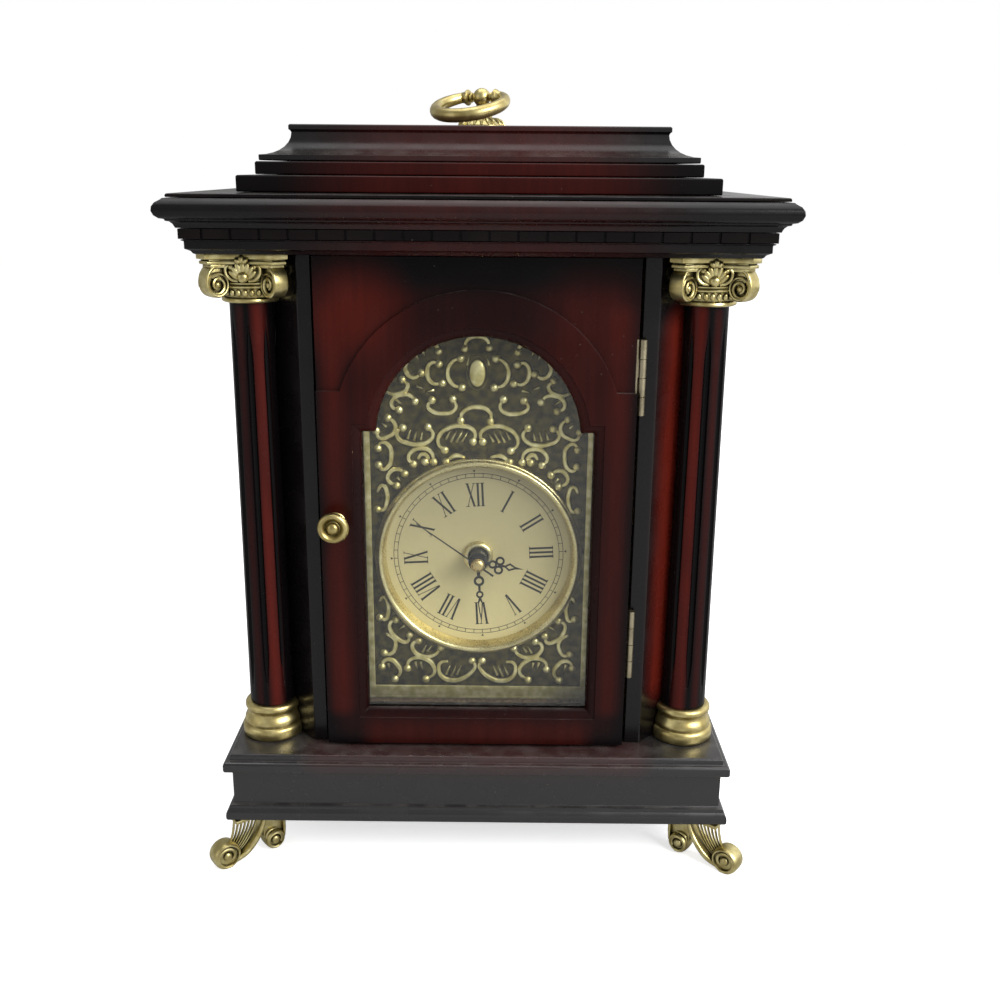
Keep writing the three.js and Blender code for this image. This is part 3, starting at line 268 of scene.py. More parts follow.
def mergeFacets(piece):
    editMesh(piece, lambda: bpy.ops.mesh.remove_doubles(threshold=0.01 * mm),
             lambda: bpy.ops.mesh.dissolve_limited(angle_limit=math.radians(1)))


# A copy of a CAD piece with its facets merged, its edges rounded and its faces shaded.
def refined(name, edge, material, slot, angle=30):
    piece = looseCopy(name, name + "_finished")
    choose(piece)
    if piece.data.has_custom_normals:
        bpy.ops.mesh.customdata_custom_splitnormals_clear()
    mergeFacets(piece)
    if edge:
        applyModifier(piece, "BEVEL", width=edge * mm, segments=2, limit_method="ANGLE",
                      angle_limit=math.radians(angle))
    smoothed(piece, 40)
    applyModifier(piece, "WEIGHTED_NORMAL", keep_sharp=True)
    return dressed(piece, bodyOf[name], slot, material, name)


def linearColour(hexCode):
    channels = [int(hexCode[i:i + 2], 16) / 255 for i in (0, 2, 4)]
    return [c / 12.92 if c <= 0.04045 else ((c + 0.055) / 1.055) ** 2.4 for c in channels] + [1.0]


# Adds a node and gives back one of its outputs. A key is one of the node's own settings or, by
# name or number, a socket. A socket takes a value, a hex colour or the output of another node.
def addNode(tree, kind, settings=None, output=0):
    node = tree.nodes.new("ShaderNode" + kind)
    for name, value in (settings or {}).items():
        if isinstance(value, bpy.types.NodeSocket):
            tree.links.new(value, node.inputs[name])
        elif isinstance(name, str) and hasattr(node, name):
            setattr(node, name, value)
        elif isinstance(value, str):
            node.inputs[name].default_value = linearColour(value)
        else:
            node.inputs[name].default_value = value
    return node.outputs[output]


def newMaterial(name, **values):
    material = bpy.data.materials.new(name)
    material.use_nodes = True
    tree = material.node_tree
    shader = tree.nodes["Principled BSDF"]
    for socket, value in values.items():
        shader.inputs[socket.replace("_", " ")].default_value = value
    place = addNode(tree, "TexCoord", output="Object")
    return material, tree, shader, place


eased = {"interpolation_type": "SMOOTHSTEP"}
twoColours = {"data_type": "RGBA"}


# 1 inside a box, falling to 0 over the fade's distance outside it; sizes in mm.
def boxFade(tree, place, centre, half, fade):
    value = place
    for operation, other in (("SUBTRACT", centre), ("ABSOLUTE", None), ("SUBTRACT", half),
                             ("MAXIMUM", (0, 0, 0))):
        settings = {"operation": operation, 0: value}
        if other is not None:
            settings[1] = [v * mm for v in other]
        value = addNode(tree, "VectorMath", settings)
    length = addNode(tree, "VectorMath", {"operation": "LENGTH", 0: value}, "Value")
    return addNode(tree, "MapRange", {**eased, 0: length, 1: 0.0, 2: fade * mm, 3: 1.0, 4: 0.0})


# A soft uneven pattern whose patches are about this many mm across.
def mottle(tree, place, size, detail=3.0, stretch=(1, 1, 1)):
    stretched = addNode(tree, "Mapping", {"Scale": stretch, "Vector": place})
    return addNode(tree, "TexNoise", {"Scale": 1 / (size * mm), "Detail": detail,
                                      "Vector": stretched})


# The same pattern, with what lies between low and high spread from 0 to 1 or between two others.
def patches(tree, place, size, detail, low, high, toLow=0.0, toHigh=1.0, stretch=(1, 1, 1)):
    pattern = mottle(tree, place, size, detail, stretch)
    return addNode(tree, "MapRange", {**eased, 0: pattern, 1: low, 2: high, 3: toLow, 4: toHigh})


# Colours the material between two colours, by a share from 0 to 1.
def painted(tree, shader, share, first, second):
    mixed = addNode(tree, "Mix", {**twoColours, 0: share, 6: first, 7: second}, 2)
    tree.links.new(mixed, shader.inputs["Base Color"])


# depth is the real height of the relief in mm.
def bumped(tree, shader, height, depth):
    bump = addNode(tree, "Bump", {"Strength": 1.0, "Distance": depth * mm, "Height": height})
    tree.links.new(bump, shader.inputs["Normal"])


dustLook = {"colour": "8c8783", "amount": 0.2, "speckGap": 5.5, "patch": 45, "film": 9}


# Loose dust: fine specks here and there and a thin film on faces that look up.
def dustShare(tree, place):
    grain = addNode(tree, "TexVoronoi", {"Scale": 1 / (dustLook["speckGap"] * mm),
                                         "Randomness": 1.0, "Vector": place}, "Distance")
    patch = patches(tree, place, dustLook["patch"], 2, 0.45, 0.7)
    dots = addNode(tree, "MapRange", {**eased, 0: grain, 1: 0.03, 2: 0.06, 3: 1.0, 4: 0.0})
    speck = addNode(tree, "Math", {"operation": "MULTIPLY", 0: dots, 1: patch})
    normal = addNode(tree, "NewGeometry", output="Normal")
    up = addNode(tree, "MapRange", {**eased, 0: addNode(tree, "SeparateXYZ", {0: normal}, 2),
                                    1: 0.75, 2: 1.0})
    cloud = patches(tree, place, dustLook["film"], 4, 0.35, 0.8, 0.25, 1.0)
    film = addNode(tree, "Math", {"operation": "MULTIPLY", 0: up, 1: cloud})
    both = addNode(tree, "Math", {"operation": "MAXIMUM", 0: speck, 1: film})
    return addNode(tree, "Math", {"operation": "MULTIPLY", 0: both, 1: dustLook["amount"]})


lacquerLook = {
    "black": "070506", "blackCloud": "120c0c", "red": "4e130b", "roughness": 0.26,
    "specular": 0.12, "fluteFloor": 8.75, "fluteRim": 9.2, "figure": 2.4, "skin": 1.6,
    "skinDepth": 0.008,
}


# Sprayed satin lacquer on beech: dark red glows in the middle of each surface and is shaded to
# black towards the edges. Glows are (centre, half, fade, share), in mm. With an axis, what lies
# nearer to it than the rims of the flutes stays black as painted shade in the flutes.
def lacquer(name, glows, red=lacquerLook["red"], black=lacquerLook["black"],
            specular=lacquerLook["specular"], axis=None):
    look = lacquerLook
    material, tree, shader, place = newMaterial(name, Roughness=look["roughness"])
    shader.inputs["Specular IOR Level"].default_value = specular
    if glows:
        unlit = 1.0
        for centre, half, fade, share in glows:
            inside = boxFade(tree, place, centre, half, fade)
            glow = addNode(tree, "Math", {"operation": "MULTIPLY", 0: inside, 1: share})
            unglowing = addNode(tree, "Math", {"operation": "SUBTRACT", 0: 1.0, 1: glow})
            unlit = addNode(tree, "Math", {"operation": "MULTIPLY", 0: unlit, 1: unglowing})
        total = addNode(tree, "Math", {"operation": "SUBTRACT", 0: 1.0, 1: unlit})
        cloud = patches(tree, place, 28, 3, 0.25, 0.8, 0.72, 1.1, stretch=(1, 1, 0.4))
        total = addNode(tree, "Math", {"operation": "MULTIPLY", 0: total, 1: cloud})
        # painted shade: the flutes are kept black by their distance from the axis
        if axis:
            middle = (axis[0] * mm, axis[1] * mm, 0)
            across = addNode(tree, "VectorMath", {"operation": "SUBTRACT", 0: place, 1: middle})
            across = addNode(tree, "VectorMath", {"operation": "MULTIPLY", 0: across,
                                                  1: (1, 1, 0)})
            reach = addNode(tree, "VectorMath", {"operation": "LENGTH", 0: across}, "Value")
            fluteShadeMask = addNode(tree, "MapRange", {**eased, 0: reach, 1: look["fluteFloor"] * mm,
                                              2: look["fluteRim"] * mm})
            total = addNode(tree, "Math", {"operation": "MULTIPLY", 0: total, 1: fluteShadeMask})
        # faint upright grain under the lacquer
        figure = patches(tree, place, look["figure"], 4, 0.3, 0.7, 0.86, 1.06,
                         stretch=(1, 1, 0.06))
        total = addNode(tree, "Math", {"operation": "MULTIPLY", 0: total, 1: figure})
        colour = addNode(tree, "Mix", {**twoColours, 0: total, 6: black, 7: red}, 2)
    else:
        cloud = patches(tree, place, 40, 2, 0.3, 0.8)
        colour = addNode(tree, "Mix", {**twoColours, 0: cloud, 6: black, 7: look["blackCloud"]},
                         2)
    colour = addNode(tree, "Mix", {**twoColours, 0: dustShare(tree, place), 6: colour,
                                   7: dustLook["colour"]}, 2)
    tree.links.new(colour, shader.inputs["Base Color"])
    rough = patches(tree, place, 14, 4, 0.3, 0.75, look["roughness"] - 0.04,
                    look["roughness"] + 0.08)
    tree.links.new(rough, shader.inputs["Roughness"])
    bumped(tree, shader, mottle(tree, place, look["skin"], 2), look["skinDepth"])
    return material


ebony = lacquer("ebonised lacquer", [])
plinthBlack = lacquer("ebonised lacquer, plinth", [
    ((0, -66, 56), (70, 3, 1), 14, 0.3)], black="0f0d0e", specular=0.75)
corniceBlack = lacquer("ebonised lacquer, cornice", [
    ((0, -84, 295), (30, 4, 2), 60, 0.22)], specular=0.25)
tierRed = lacquer("shaded mahogany lacquer, cap", [
    ((0, 0, 305), (40, 70, 6), 46, 0.42)])
capRed = lacquer("shaded mahogany lacquer, cap moulding", [
    ((0, 0, 320), (30, 50, 4), 46, 0.36)], specular=0.4)
# Only the right post gets the red glow, as painted light from the right; the left post stays black
# as painted shade.
postRedLitFromRight = lacquer("shaded mahogany lacquer, corner posts", [
    ((89, -42, 165), (2, 6, 80), 17, 1.0)], red="5c1a10", specular=0.3)
sideRed = lacquer("shaded mahogany lacquer, sides", [
    ((106, 4, 168), (6, 6, 40), 46, 0.55), ((-106, 4, 168), (6, 6, 40), 46, 0.55)])
backRed = lacquer("shaded mahogany lacquer, back", [
    ((0, 56, 165), (40, 8, 50), 46, 0.6)])
doorRed = lacquer("shaded mahogany lacquer, door", [
    ((-0.7, -60, 163), (57, 12, 95), 11, 0.16), ((-52, -60, 254), (1, 12, 1), 30, 0.85),
    ((47, -60, 250), (1, 12, 1), 30, 0.45), ((-61, -60, 165), (0.3, 12, 88), 8, 0.6),
    ((59, -60, 165), (0.3, 12, 88), 8, 0.42), ((0, -60, 62.5), (44, 12, 0.4), 12, 0.5),
    ((0, -60, 212), (28, 12, 2), 40, 0.5)], red="41110a", specular=0.1)
print("lacquers made")

boardLook = {"colour": "8a6b48", "fleck": "5e4529", "fibre": 1.2}
rawBoard, tree, shader, place = newMaterial("pressed fibreboard", Roughness=0.85)
fibres = mottle(tree, place, boardLook["fibre"], 5)  # short pressed fibres
shares = addNode(tree, "MapRange", {**eased, 0: fibres, 1: 0.35, 2: 0.65})
painted(tree, shader, shares, boardLook["fleck"], boardLook["colour"])
bumped(tree, shader, fibres, 0.05)


brassLook = {"bright": "ded39c", "body": "ae9f68", "recess": "171209", "roughness": 0.33,
             "recessRoughness": 0.6}


# Cast zinc plated in antique brass: dark wash left in the hollows, rubbed bright on the
# ridges, with faint cloudy tarnish.
def antiqueBrass(name, bright=brassLook["bright"], body=brassLook["body"],
                 recess=brassLook["recess"], distance=2.2):
    material, tree, shader, place = newMaterial(name, Metallic=1.0)
    hollow = addNode(tree, "AmbientOcclusion", {"samples": 6, "only_local": True,
                                                "Distance": distance * mm}, "AO")
    exposed = addNode(tree, "MapRange", {**eased, 0: hollow, 1: 0.25, 2: 0.8})
    cloud = patches(tree, place, 5, 4, 0.3, 0.75)
    rubbed = addNode(tree, "Mix", {**twoColours, 0: cloud, 6: body, 7: bright}, 2)
    painted(tree, shader, exposed, recess, rubbed)
    tree.links.new(addNode(tree, "MapRange", {**eased, 0: exposed, 1: 0, 2: 1,
                                              3: brassLook["recessRoughness"],
                                              4: brassLook["roughness"]}),
                   shader.inputs["Roughness"])
    bumped(tree, shader, mottle(tree, place, 0.7, 3), 0.012)
    return material


castBrass = antiqueBrass("antique brass plate, cast", distance=3.0)
paleBrass = antiqueBrass("antique brass plate, turned", "d2c48a", "a89760", "1d180c")


# Rolled or turned brass with a fine brushed grain and a light lacquer.
def satinBrass(name, colour, darker, roughness):
    material, tree, shader, place = newMaterial(name, Metallic=1.0)
    grain = mottle(tree, place, 0.35, 2, (1, 0.15, 1))  # brushed lines, drawn coarse
    tarnish = patches(tree, place, 9, 4, 0.35, 0.8)
    painted(tree, shader, tarnish, colour, darker)
    tree.links.new(addNode(tree, "MapRange", {**eased, 0: grain, 1: 0.3, 2: 0.7,
                                              3: roughness - 0.06, 4: roughness + 0.1}),
                   shader.inputs["Roughness"])
    bumped(tree, shader, grain, 0.004)
    return material


brightBrass = satinBrass("satin brass", "d8c48a", "b9a265", 0.27)
hingeBrass = satinBrass("aged sheet brass", "a69c82", "6d6450", 0.36)
paleSatin = satinBrass("pale satin brass", "dccf9f", "b9aa76", 0.3)
capBrass = satinBrass("champagne brass", "d2bc86", "bda36a", 0.3)
nickel = satinBrass("plated steel", "b9b7b0", "8f8d88", 0.3)

# Stamped brass sheet with a dark olive wash: the ground stays dark and the raised scrolls shine.
reliefLook = {"ground": "1a160a", "groundWorn": "5b5229", "ridge": "b5a76a",
              "ridgeWorn": "e6dca8", "sheetFront": -42.15, "ridgeFront": -42.62}
reliefBrass, tree, shader, place = newMaterial("stamped brass, washed dark", Metallic=0.8)
depthBack = addNode(tree, "SeparateXYZ", {0: place}, 1)
raisedShare = addNode(tree, "MapRange", {**eased, 0: depthBack, 1: reliefLook["sheetFront"] * mm,
                                         2: reliefLook["ridgeFront"] * mm})
patina = patches(tree, place, 3.5, 4, 0.3, 0.75)
ground = addNode(tree, "Mix", {**twoColours, 0: patina, 6: reliefLook["ground"],
                               7: reliefLook["groundWorn"]}, 2)
ridge = addNode(tree, "Mix", {**twoColours, 0: patina, 6: reliefLook["ridge"],
                              7: reliefLook["ridgeWorn"]}, 2)
painted(tree, shader, raisedShare, ground, ridge)
tree.links.new(addNode(tree, "MapRange", {**eased, 0: raisedShare, 1: 0, 2: 1, 3: 0.42, 4: 0.36}),
               shader.inputs["Roughness"])
bumped(tree, shader, mottle(tree, place, 2.2, 2), 0.03)  # uneven stamping

# Spun aluminium disc with a champagne satin finish; painted shade makes it a little darker towards
# its top.
discLook = {"top": "a89d79", "bottom": "d6c795", "grain": "6e6548", "low": 100, "high": 184}
champagne, tree, shader, place = newMaterial("champagne satin disc", Metallic=0.35,
                                             Roughness=0.42)
height = addNode(tree, "SeparateXYZ", {0: place}, 2)
# painted shade: the colour darkens towards the top of the disc
shadedTowardTop = addNode(tree, "MapRange", {**eased, 0: height, 1: discLook["low"] * mm,
                                     2: discLook["high"] * mm})
grainShade = patches(tree, place, 0.5, 3, 0.3, 0.7, 0.0, 0.12)
discColour = addNode(tree, "Mix", {**twoColours, 0: shadedTowardTop, 6: discLook["bottom"],
                                   7: discLook["top"]}, 2)
painted(tree, shader, grainShade, discColour, discLook["grain"])
bumped(tree, shader, mottle(tree, place, 0.4, 2), 0.006)

blackPaint, tree, shader, place = newMaterial("satin black enamel", Roughness=0.35)
painted(tree, shader, patches(tree, place, 2, 3, 0.3, 0.8), "08080a", "17161a")
bumped(tree, shader, mottle(tree, place, 0.5, 2), 0.003)


# Float glass: clear, faintly grey, and open to lamps so that the dial behind it stays lit.
glassLook = {"tint": "f4f6f3", "roughness": 0.02, "refraction": 1.45, "specular": 0.22}
glass, tree, shader, place = newMaterial(
    "float glass", Roughness=glassLook["roughness"], IOR=glassLook["refraction"],
    Specular_IOR_Level=glassLook["specular"], Transmission_Weight=1.0,
    Base_Color=linearColour(glassLook["tint"]))
clear = addNode(tree, "BsdfTransparent", {"Color": glassLook["tint"]})
shadowRay = addNode(tree, "LightPath", output="Is Shadow Ray")
through = addNode(tree, "MixShader", {0: shadowRay, 1: shader.outputs[0], 2: clear})
tree.links.new(through, tree.nodes["Material Output"].inputs[0])


# Injection-moulded or coated material: an even colour with a fine surface grit.
def moulded(name, colour, speckle, roughness):
    material, tree, shader, place = newMaterial(name, Roughness=roughness)
    clouds = patches(tree, place, 2.4, 3, 0.3, 0.75)
    painted(tree, shader, clouds, colour, speckle)
    bumped(tree, shader, mottle(tree, place, 0.6, 3), 0.01)
    return material


blackPlastic = moulded("black styrene", "131315", "1c1c1f", 0.45)
whitePlastic = moulded("white acetal", "dcdad2", "cfcdc4", 0.38)
boardGreen = moulded("solder mask", "1d5a33", "17492a", 0.3)

# Fine wire in close turns, each a bright band with a dark gap of painted shade between the turns.
copper, tree, shader, place = newMaterial("enamelled copper wire", Metallic=1.0, Roughness=0.32)
turns = addNode(tree, "TexWave", {"wave_type": "BANDS", "bands_direction": "X",
                                  "Scale": 1 / (0.5 * mm) / 20, "Vector": place}, "Fac")
painted(tree, shader, turns, "6d2f17", "c8723f")
bumped(tree, shader, turns, 0.06)

# Printed film shrunk round the cell: dark, with a copper-coloured band and a bare metal end.
sleeveLook = {"dark": "2a2a2d", "band": "a8662e", "metal": "c9c7c0", "bandStart": (14.2, 14.6),
              "metalStart": (23.6, 23.9)}
canSleeve, tree, shader, place = newMaterial("printed cell sleeve", Metallic=0.6, Roughness=0.3)
along = addNode(tree, "SeparateXYZ", {0: place})
bandStart, metalStart = sleeveLook["bandStart"], sleeveLook["metalStart"]
banded = addNode(tree, "MapRange", {**eased, 0: along, 1: bandStart[0] * mm,
                                    2: bandStart[1] * mm})
bare = addNode(tree, "MapRange", {**eased, 0: along, 1: metalStart[0] * mm,
                                  2: metalStart[1] * mm})
sleeve = addNode(tree, "Mix", {**twoColours, 0: banded, 6: sleeveLook["dark"],
                               7: sleeveLook["band"]}, 2)
painted(tree, shader, bare, sleeve, sleeveLook["metal"])
bumped(tree, shader, mottle(tree, place, 1.5, 2), 0.01)
print("metals, glass and plastics made")


woodPieces = {
    "base_slab": (0.5, plinthBlack, "ebonised_wood"),
    "soffit_board": (0.35, corniceBlack, "ebonised_wood"),
    "dentil_moulding": (0.18, ebony, "ebonised_wood"),
    "crown_moulding": (0.5, corniceBlack, "ebonised_wood"),
    "cornice_top_board": (0.3, ebony, "ebonised_wood"),
    "cap_top": (0.35, capRed, "ebonised_wood"),
    "cap_tier_lower": (0.4, tierRed, "mahogany"),
    "cap_tier_upper": (0.4, tierRed, "mahogany"),
    "corner_post_left": (0.5, postRedLitFromRight, "mahogany"),
    "corner_post_right": (0.5, postRedLitFromRight, "mahogany"),
    "side_panel_left": (0.5, sideRed, "mahogany"),
    "side_panel_right": (0.5, sideRed, "mahogany"),
    "back_panel": (0.4, backRed, "mahogany"),
    "back_door": (0.6, backRed, "mahogany"),
    "door_frame": (0.5, doorRed, "mahogany"),
    "glass_bead": (0.3, ebony, "mahogany"),
    "dial_board": (0.3, rawBoard, "fibreboard"),
}
for name, (edge, material, slot) in woodPieces.items():
    refined(name, edge, material, slot)
plinth = mitredFrame("plinth_frame_finished", [
    [-14, 0], [1.7, 0], [2.6, 0.25], [3.2, 0.9], [3.4, 1.8], [3.4, 3.2], [3.2, 4.3], [2.8, 5.2],
    [2.2, 5.8], [2.0, 6.0], [1.95, 6.9], [1.6, 7.5], [1.0, 7.8], [0.35, 8.0], [0.1, 8.3], [0, 9],
    [0, 24.4], [-14, 24.4]], 111, 71, (0, 0, 23.5))
dressed(plinth, "case", "ebonised_wood", plinthBlack, "plinth_frame")
print("case made")


columnLook = {
    "axis": (96.0, -47.0), "bottom": 73.4, "top": 256.9, "bottomRadius": 10.2, "topRadius": 9.3,
    "flutes": 8, "firstFlute": -90.0, "fluteRadius": 1.5, "fluteDepth": 1.55, "fluteEnd": 8.0,
    "fluteTaper": 18.0,
}
columnX, columnY = columnLook["axis"]
cantLook = {"x": 75, "y": -57.5, "clearance": 0.424}


# Takes away what would stand in the canted corner behind a right-hand column.
def cutAtCant(piece):
    spot = ((cantLook["x"] + cantLook["clearance"]) * mm, cantLook["y"] * mm, 0)
    editMesh(piece, lambda: bpy.ops.mesh.bisect(plane_co=spot, plane_no=(1, -1, 0),
                                                use_fill=True, clear_inner=True))
    return piece


def fluteCutter(turn):
    look = columnLook
    low, high = look["bottom"] + look["fluteEnd"], look["top"] - look["fluteEnd"]
    middle = (low + high) / 2
    profile = []
    for share in (0, 0.2, 0.45, 0.75, 1):
        profile.append([look["fluteRadius"] * math.sin(share * math.pi / 2),
                        low - middle + look["fluteTaper"] * share])
    profile += [[r, -h] for r, h in reversed(profile)]
    lean = (look["bottomRadius"] - look["topRadius"]) / (look["top"] - look["bottom"])
    reach = ((look["bottomRadius"] + look["topRadius"]) / 2
             + look["fluteRadius"] - look["fluteDepth"])
    angle = math.radians(turn)
    place = (columnX + reach * math.cos(angle), columnY + reach * math.sin(angle), middle)
    cutter = turnedPiece("cutter", profile, steps=16)
    return settle(cutter, place, (0, -math.degrees(math.atan(lean)), turn))


def columnShaft():
    look = columnLook
    height = look["top"] - look["bottom"]
    profile = [[0, 0]]
    for i in range(9):
        share = i / 8
        radius = look["bottomRadius"] + (look["topRadius"] - look["bottomRadius"]) * share
        profile.append([radius, height * share])
    profile.append([0, height])
    shaft = turnedPiece("shaft", profile, (columnX, columnY, look["bottom"]), steps=96)
    cutters = [fluteCutter(look["firstFlute"] + 360 / look["flutes"] * i)
               for i in range(look["flutes"])]
    cutter = joined("cutters", cutters)
    applyModifier(shaft, "BOOLEAN", object=cutter, operation="DIFFERENCE", solver="EXACT")
    bpy.data.objects.remove(cutter)
    cutAtCant(shaft)
    applyModifier(shaft, "BEVEL", width=0.22 * mm, segments=2, limit_method="ANGLE",
                  angle_limit=math.radians(28))
    return smoothed(shaft, 32)


basePoints = [[0, 0], [13.5, 0], [14.0, 0.5], [14.2, 1.4], [14.2, 3.9], [13.95, 4.9],
              [13.4, 5.5], [12.9, 5.8], [12.95, 6.3], [13.15, 7.0], [13.1, 8.0], [12.7, 9.1],
              [12.1, 10.0], [11.7, 10.8], [11.5, 11.5], [11.6, 12.2], [12.0, 12.8], [12.5, 13.4],
              [12.7, 14.2], [12.6, 15.2], [12.0, 16.1], [11, 16.5], [0, 16.5]]


def columnBase():
    return smoothed(cutAtCant(turnedPiece("base", basePoints, (columnX, columnY, 56.6),
                                          steps=96)), 40)


# The axis paints each column's flutes black as shade.
rightRed = lacquer("shaded mahogany lacquer, right column", [
    ((92.2, -57, 165), (0.3, 5, 95), 4.0, 0.9), ((99.8, -57, 165), (0.4, 5, 90), 2.4, 0.25)],
    red="4a120b", specular=0.1, axis=(columnX, columnY))
leftRed = lacquer("shaded mahogany lacquer, left column", [
    ((-92.2, -57, 165), (0.3, 5, 95), 4.0, 0.9), ((-99.8, -57, 165), (0.4, 5, 90), 2.4, 0.25)],
    red="4a120b", specular=0.1, axis=(-columnX, columnY))


capitalLook = {
    "bottom": 257.2, "halfWidth": 18.6, "voluteHeight": 7.8, "voluteRadius": 5.4,
    "voluteReach": 22.8, "voluteThick": 7.0, "beads": 26, "leaves": 7, "leafLean": 18,
}


def abacusOutline(halfWidth, blunt=4.5, hollow=3.5):
    side = [[-halfWidth + blunt, halfWidth], [-halfWidth / 2, halfWidth - hollow * 0.72],
            [-halfWidth / 4, halfWidth - hollow * 0.94], [0, halfWidth - hollow],
            [halfWidth / 4, halfWidth - hollow * 0.94],
            [halfWidth / 2, halfWidth - hollow * 0.72], [halfWidth - blunt, halfWidth]]
    outline = []
    for turn in (0, -90, -180, -270):
        c, s = round(math.cos(math.radians(turn))), round(math.sin(math.radians(turn)))
        outline += [[x * c - y * s, x * s + y * c] for x, y in side]
    return outline


# One corner scroll, made in the plane of the capital's diagonal.
def volute(turn):
    look = capitalLook
    radius = look["voluteRadius"]
    middle, half = look["voluteReach"] - radius, look["voluteThick"] / 2
    height = look["voluteHeight"]
    wall = [[0, -half + 1.9], [radius - 1.7, -half + 1.9], [radius - 1.2, -half + 0.1],
            [radius - 0.7, -half], [radius - 0.2, -half + 0.4], [radius, 0]]
    profile = wall + [[r, -y] for r, y in reversed(wall[:-1])]
    core = turnedPiece("core", profile, alongY=True, steps=40)
    core = settle(core, (middle, 0, height))
    rims = []
    for side in (-1, 1):
        path = spiral(0, 0, radius - 0.9, 1.5, 40, -430, 28)
        rim = settle(sweep("rim", path, 1.5, around=2, along=2), (middle, 0, height),
                     (90, 0, 0))
        rims.append(settle(rim, (0, side * (half - 0.8), 0)))
        rims.append(ball("eye", (middle, side * (half - 1.1), height), (1.5, 1.3, 1.5), 16, 8))
    strap = sweep("strap", [[8.5, 16.2], [13.5, 16.2], [17.6, 15.6], [20.8, 13.2],
                            [22.2, 9.6], [22.2, 7]], 1.5, halfWidth=half - 0.75, around=2)
    strap = settle(strap, turn=(90, 0, 0))
    web = flatPiece("web", [[[7, 16.4], [14, 16.2], [19, 14.4], [21, 11], [16, 9], [9, 8]]], 5.0,
                    0.3)
    web = settle(web, turn=(90, 0, 0))
    return settle(joined("volute", [core, strap, web] + rims), turn=(0, 0, turn))


# A fan of pointed leaves on one face of the bell, over a small bud.
def palmette(turn):
    leaves = []
    for i in range(capitalLook["leaves"]):
        lean = (i - (capitalLook["leaves"] - 1) / 2) * capitalLook["leafLean"]
        length = 4.0 - abs(lean) * 0.016
        leaf = settle(ball("leaf", (0, 0, 0), (1.45, 1.1, length), 12, 8), (0, 0, length + 0.7))
        leaf = settle(leaf, turn=(13, lean, 0))
        leaves.append(settle(leaf, (0, -12.9, 9.4)))
    leaves.append(ball("bud", (0, -14.6, 10.9), (2.3, 1.5, 2.2), 16, 8))
    for side in (-1, 0, 1):
        crest = ball("crest", (0, 0, 1.6 - abs(side) * 0.3), (1.2, 1.2, 1.8 - abs(side) * 0.3))
        leaves.append(settle(settle(crest, turn=(0, side * 42, 0)), (side * 0.6, -15.9, 16.7)))
    for side in (-1, 1):
        frond = sweep("frond", [[side * 2.2, 9.4], [side * 5.0, 10.0], [side * 7.0, 12.6],
                                [side * 6.4, 15.4], [side * 4.6, 15.6]], 1.3, around=2)
        leaves.append(settle(frond, (0, -13.5, 0), (90, 0, 0)))
        leaves.append(ball("tip", (side * 4.6, -13.9, 15.0), (1.3, 1.0, 1.2), 12, 6))
    return settle(joined("palmette", leaves), turn=(0, 0, turn))


def capital():
    look = capitalLook
    bell = turnedPiece("bell", [
        [0, 0], [11.4, 0], [12.1, 0.35], [12.4, 1.0], [12.2, 1.7], [11.6, 2.1], [11.1, 2.4],
        [11.3, 3.6], [11.9, 5.4], [12.3, 6.1], [13, 6.4], [13.2, 6.9], [12.9, 7.4], [12.4, 7.6],
        [12.8, 7.9], [12.9, 8.4], [12.5, 8.9], [11.9, 9.2], [12.3, 12], [13.2, 15], [14, 17],
        [0, 17]], steps=72)
    pieces = [bell]
    for i in range(look["beads"]):
        angle = math.tau * i / look["beads"]
        egg = ball("egg", (0, 0, 0), (1.15, 0.9, 1.45), 10, 6)
        pieces.append(settle(egg, (11.9 * math.sin(angle), -11.9 * math.cos(angle), 4.2),
                             (14, 0, math.degrees(angle))))
    for turn in (45, 135, 225, 315):
        pieces.append(volute(turn))
    for turn in (0, 90, 180, 270):
        pieces.append(palmette(turn))
    layers = ((look["halfWidth"] - 2.0, 14.6, 16.2), (look["halfWidth"] - 0.9, 16.1, 17.5),
              (look["halfWidth"] - 1.5, 17.4, 18.3), (look["halfWidth"], 18.2, 20.5))
    for halfWidth, low, high in layers:
        layer = flatPiece("abacus", [abacusOutline(halfWidth)], high - low, 0.35)
        pieces.append(settle(layer, (0, 0, (low + high) / 2)))
    whole = joined("capital", pieces)
    return smoothed(cutAtCant(settle(whole, (columnX, columnY, look["bottom"]))), 40)


columnParts = (("column_base", columnBase(), paleBrass, "antique_brass"),
               ("column_shaft", columnShaft(), None, "mahogany"),
               ("column_capital", capital(), castBrass, "antique_brass"))
for name, piece, material, slot in columnParts:
    twin = mirroredCopy(piece, name + "_left_finished", -1, 1)
    piece.name = name + "_right_finished"
    dressed(twin, "case", slot, material or leftRed, name + "_left")
    dressed(piece, "case", slot, material or rightRed, name + "_right")
print("columns made")


footLook = {
    "toeRadius": 6.5, "heelRadius": 5.0, "length": 24.2, "heelRise": 5.8, "top": 23.2,
    "padThick": 1.8, "halfWidth": 4.0, "ribs": 7, "turn": -38.0, "place": (116.2, -73.7, 0.0),
    "toeFlat": 0.35,
}


# A drum with rounded, dished ends and a raised spiral and boss on each.
def scrollBody(name, radius, halfWidth, centre):
    wall = [[0, -halfWidth + 1.2], [radius - 1.75, -halfWidth + 1.2], [radius - 1.35, -halfWidth],
            [radius - 0.8, -halfWidth], [radius - 0.3, -halfWidth + 0.6],
            [radius - 0.08, -halfWidth + 1.6], [radius, 0]]
    profile = wall + [[r, -y] for r, y in reversed(wall[:-1])]
    pieces = [settle(turnedPiece(name, profile, alongY=True, steps=56), (centre[0], 0, centre[1]))]
    for side in (-1, 1):
        rim = sweep("rim", spiral(0, 0, radius - 1.0, 2.9, -110, 215, 20), 1.5, around=2, along=2)
        rim = settle(rim, (centre[0], 0, centre[1]), (90, 0, 0))
        pieces.append(settle(rim, (0, side * (halfWidth - 0.65), 0)))
        pieces.append(ball("boss", (centre[0], side * (halfWidth - 0.9), centre[1]),
                           (2.1, 1.4, 2.1), 20, 10))
    return pieces


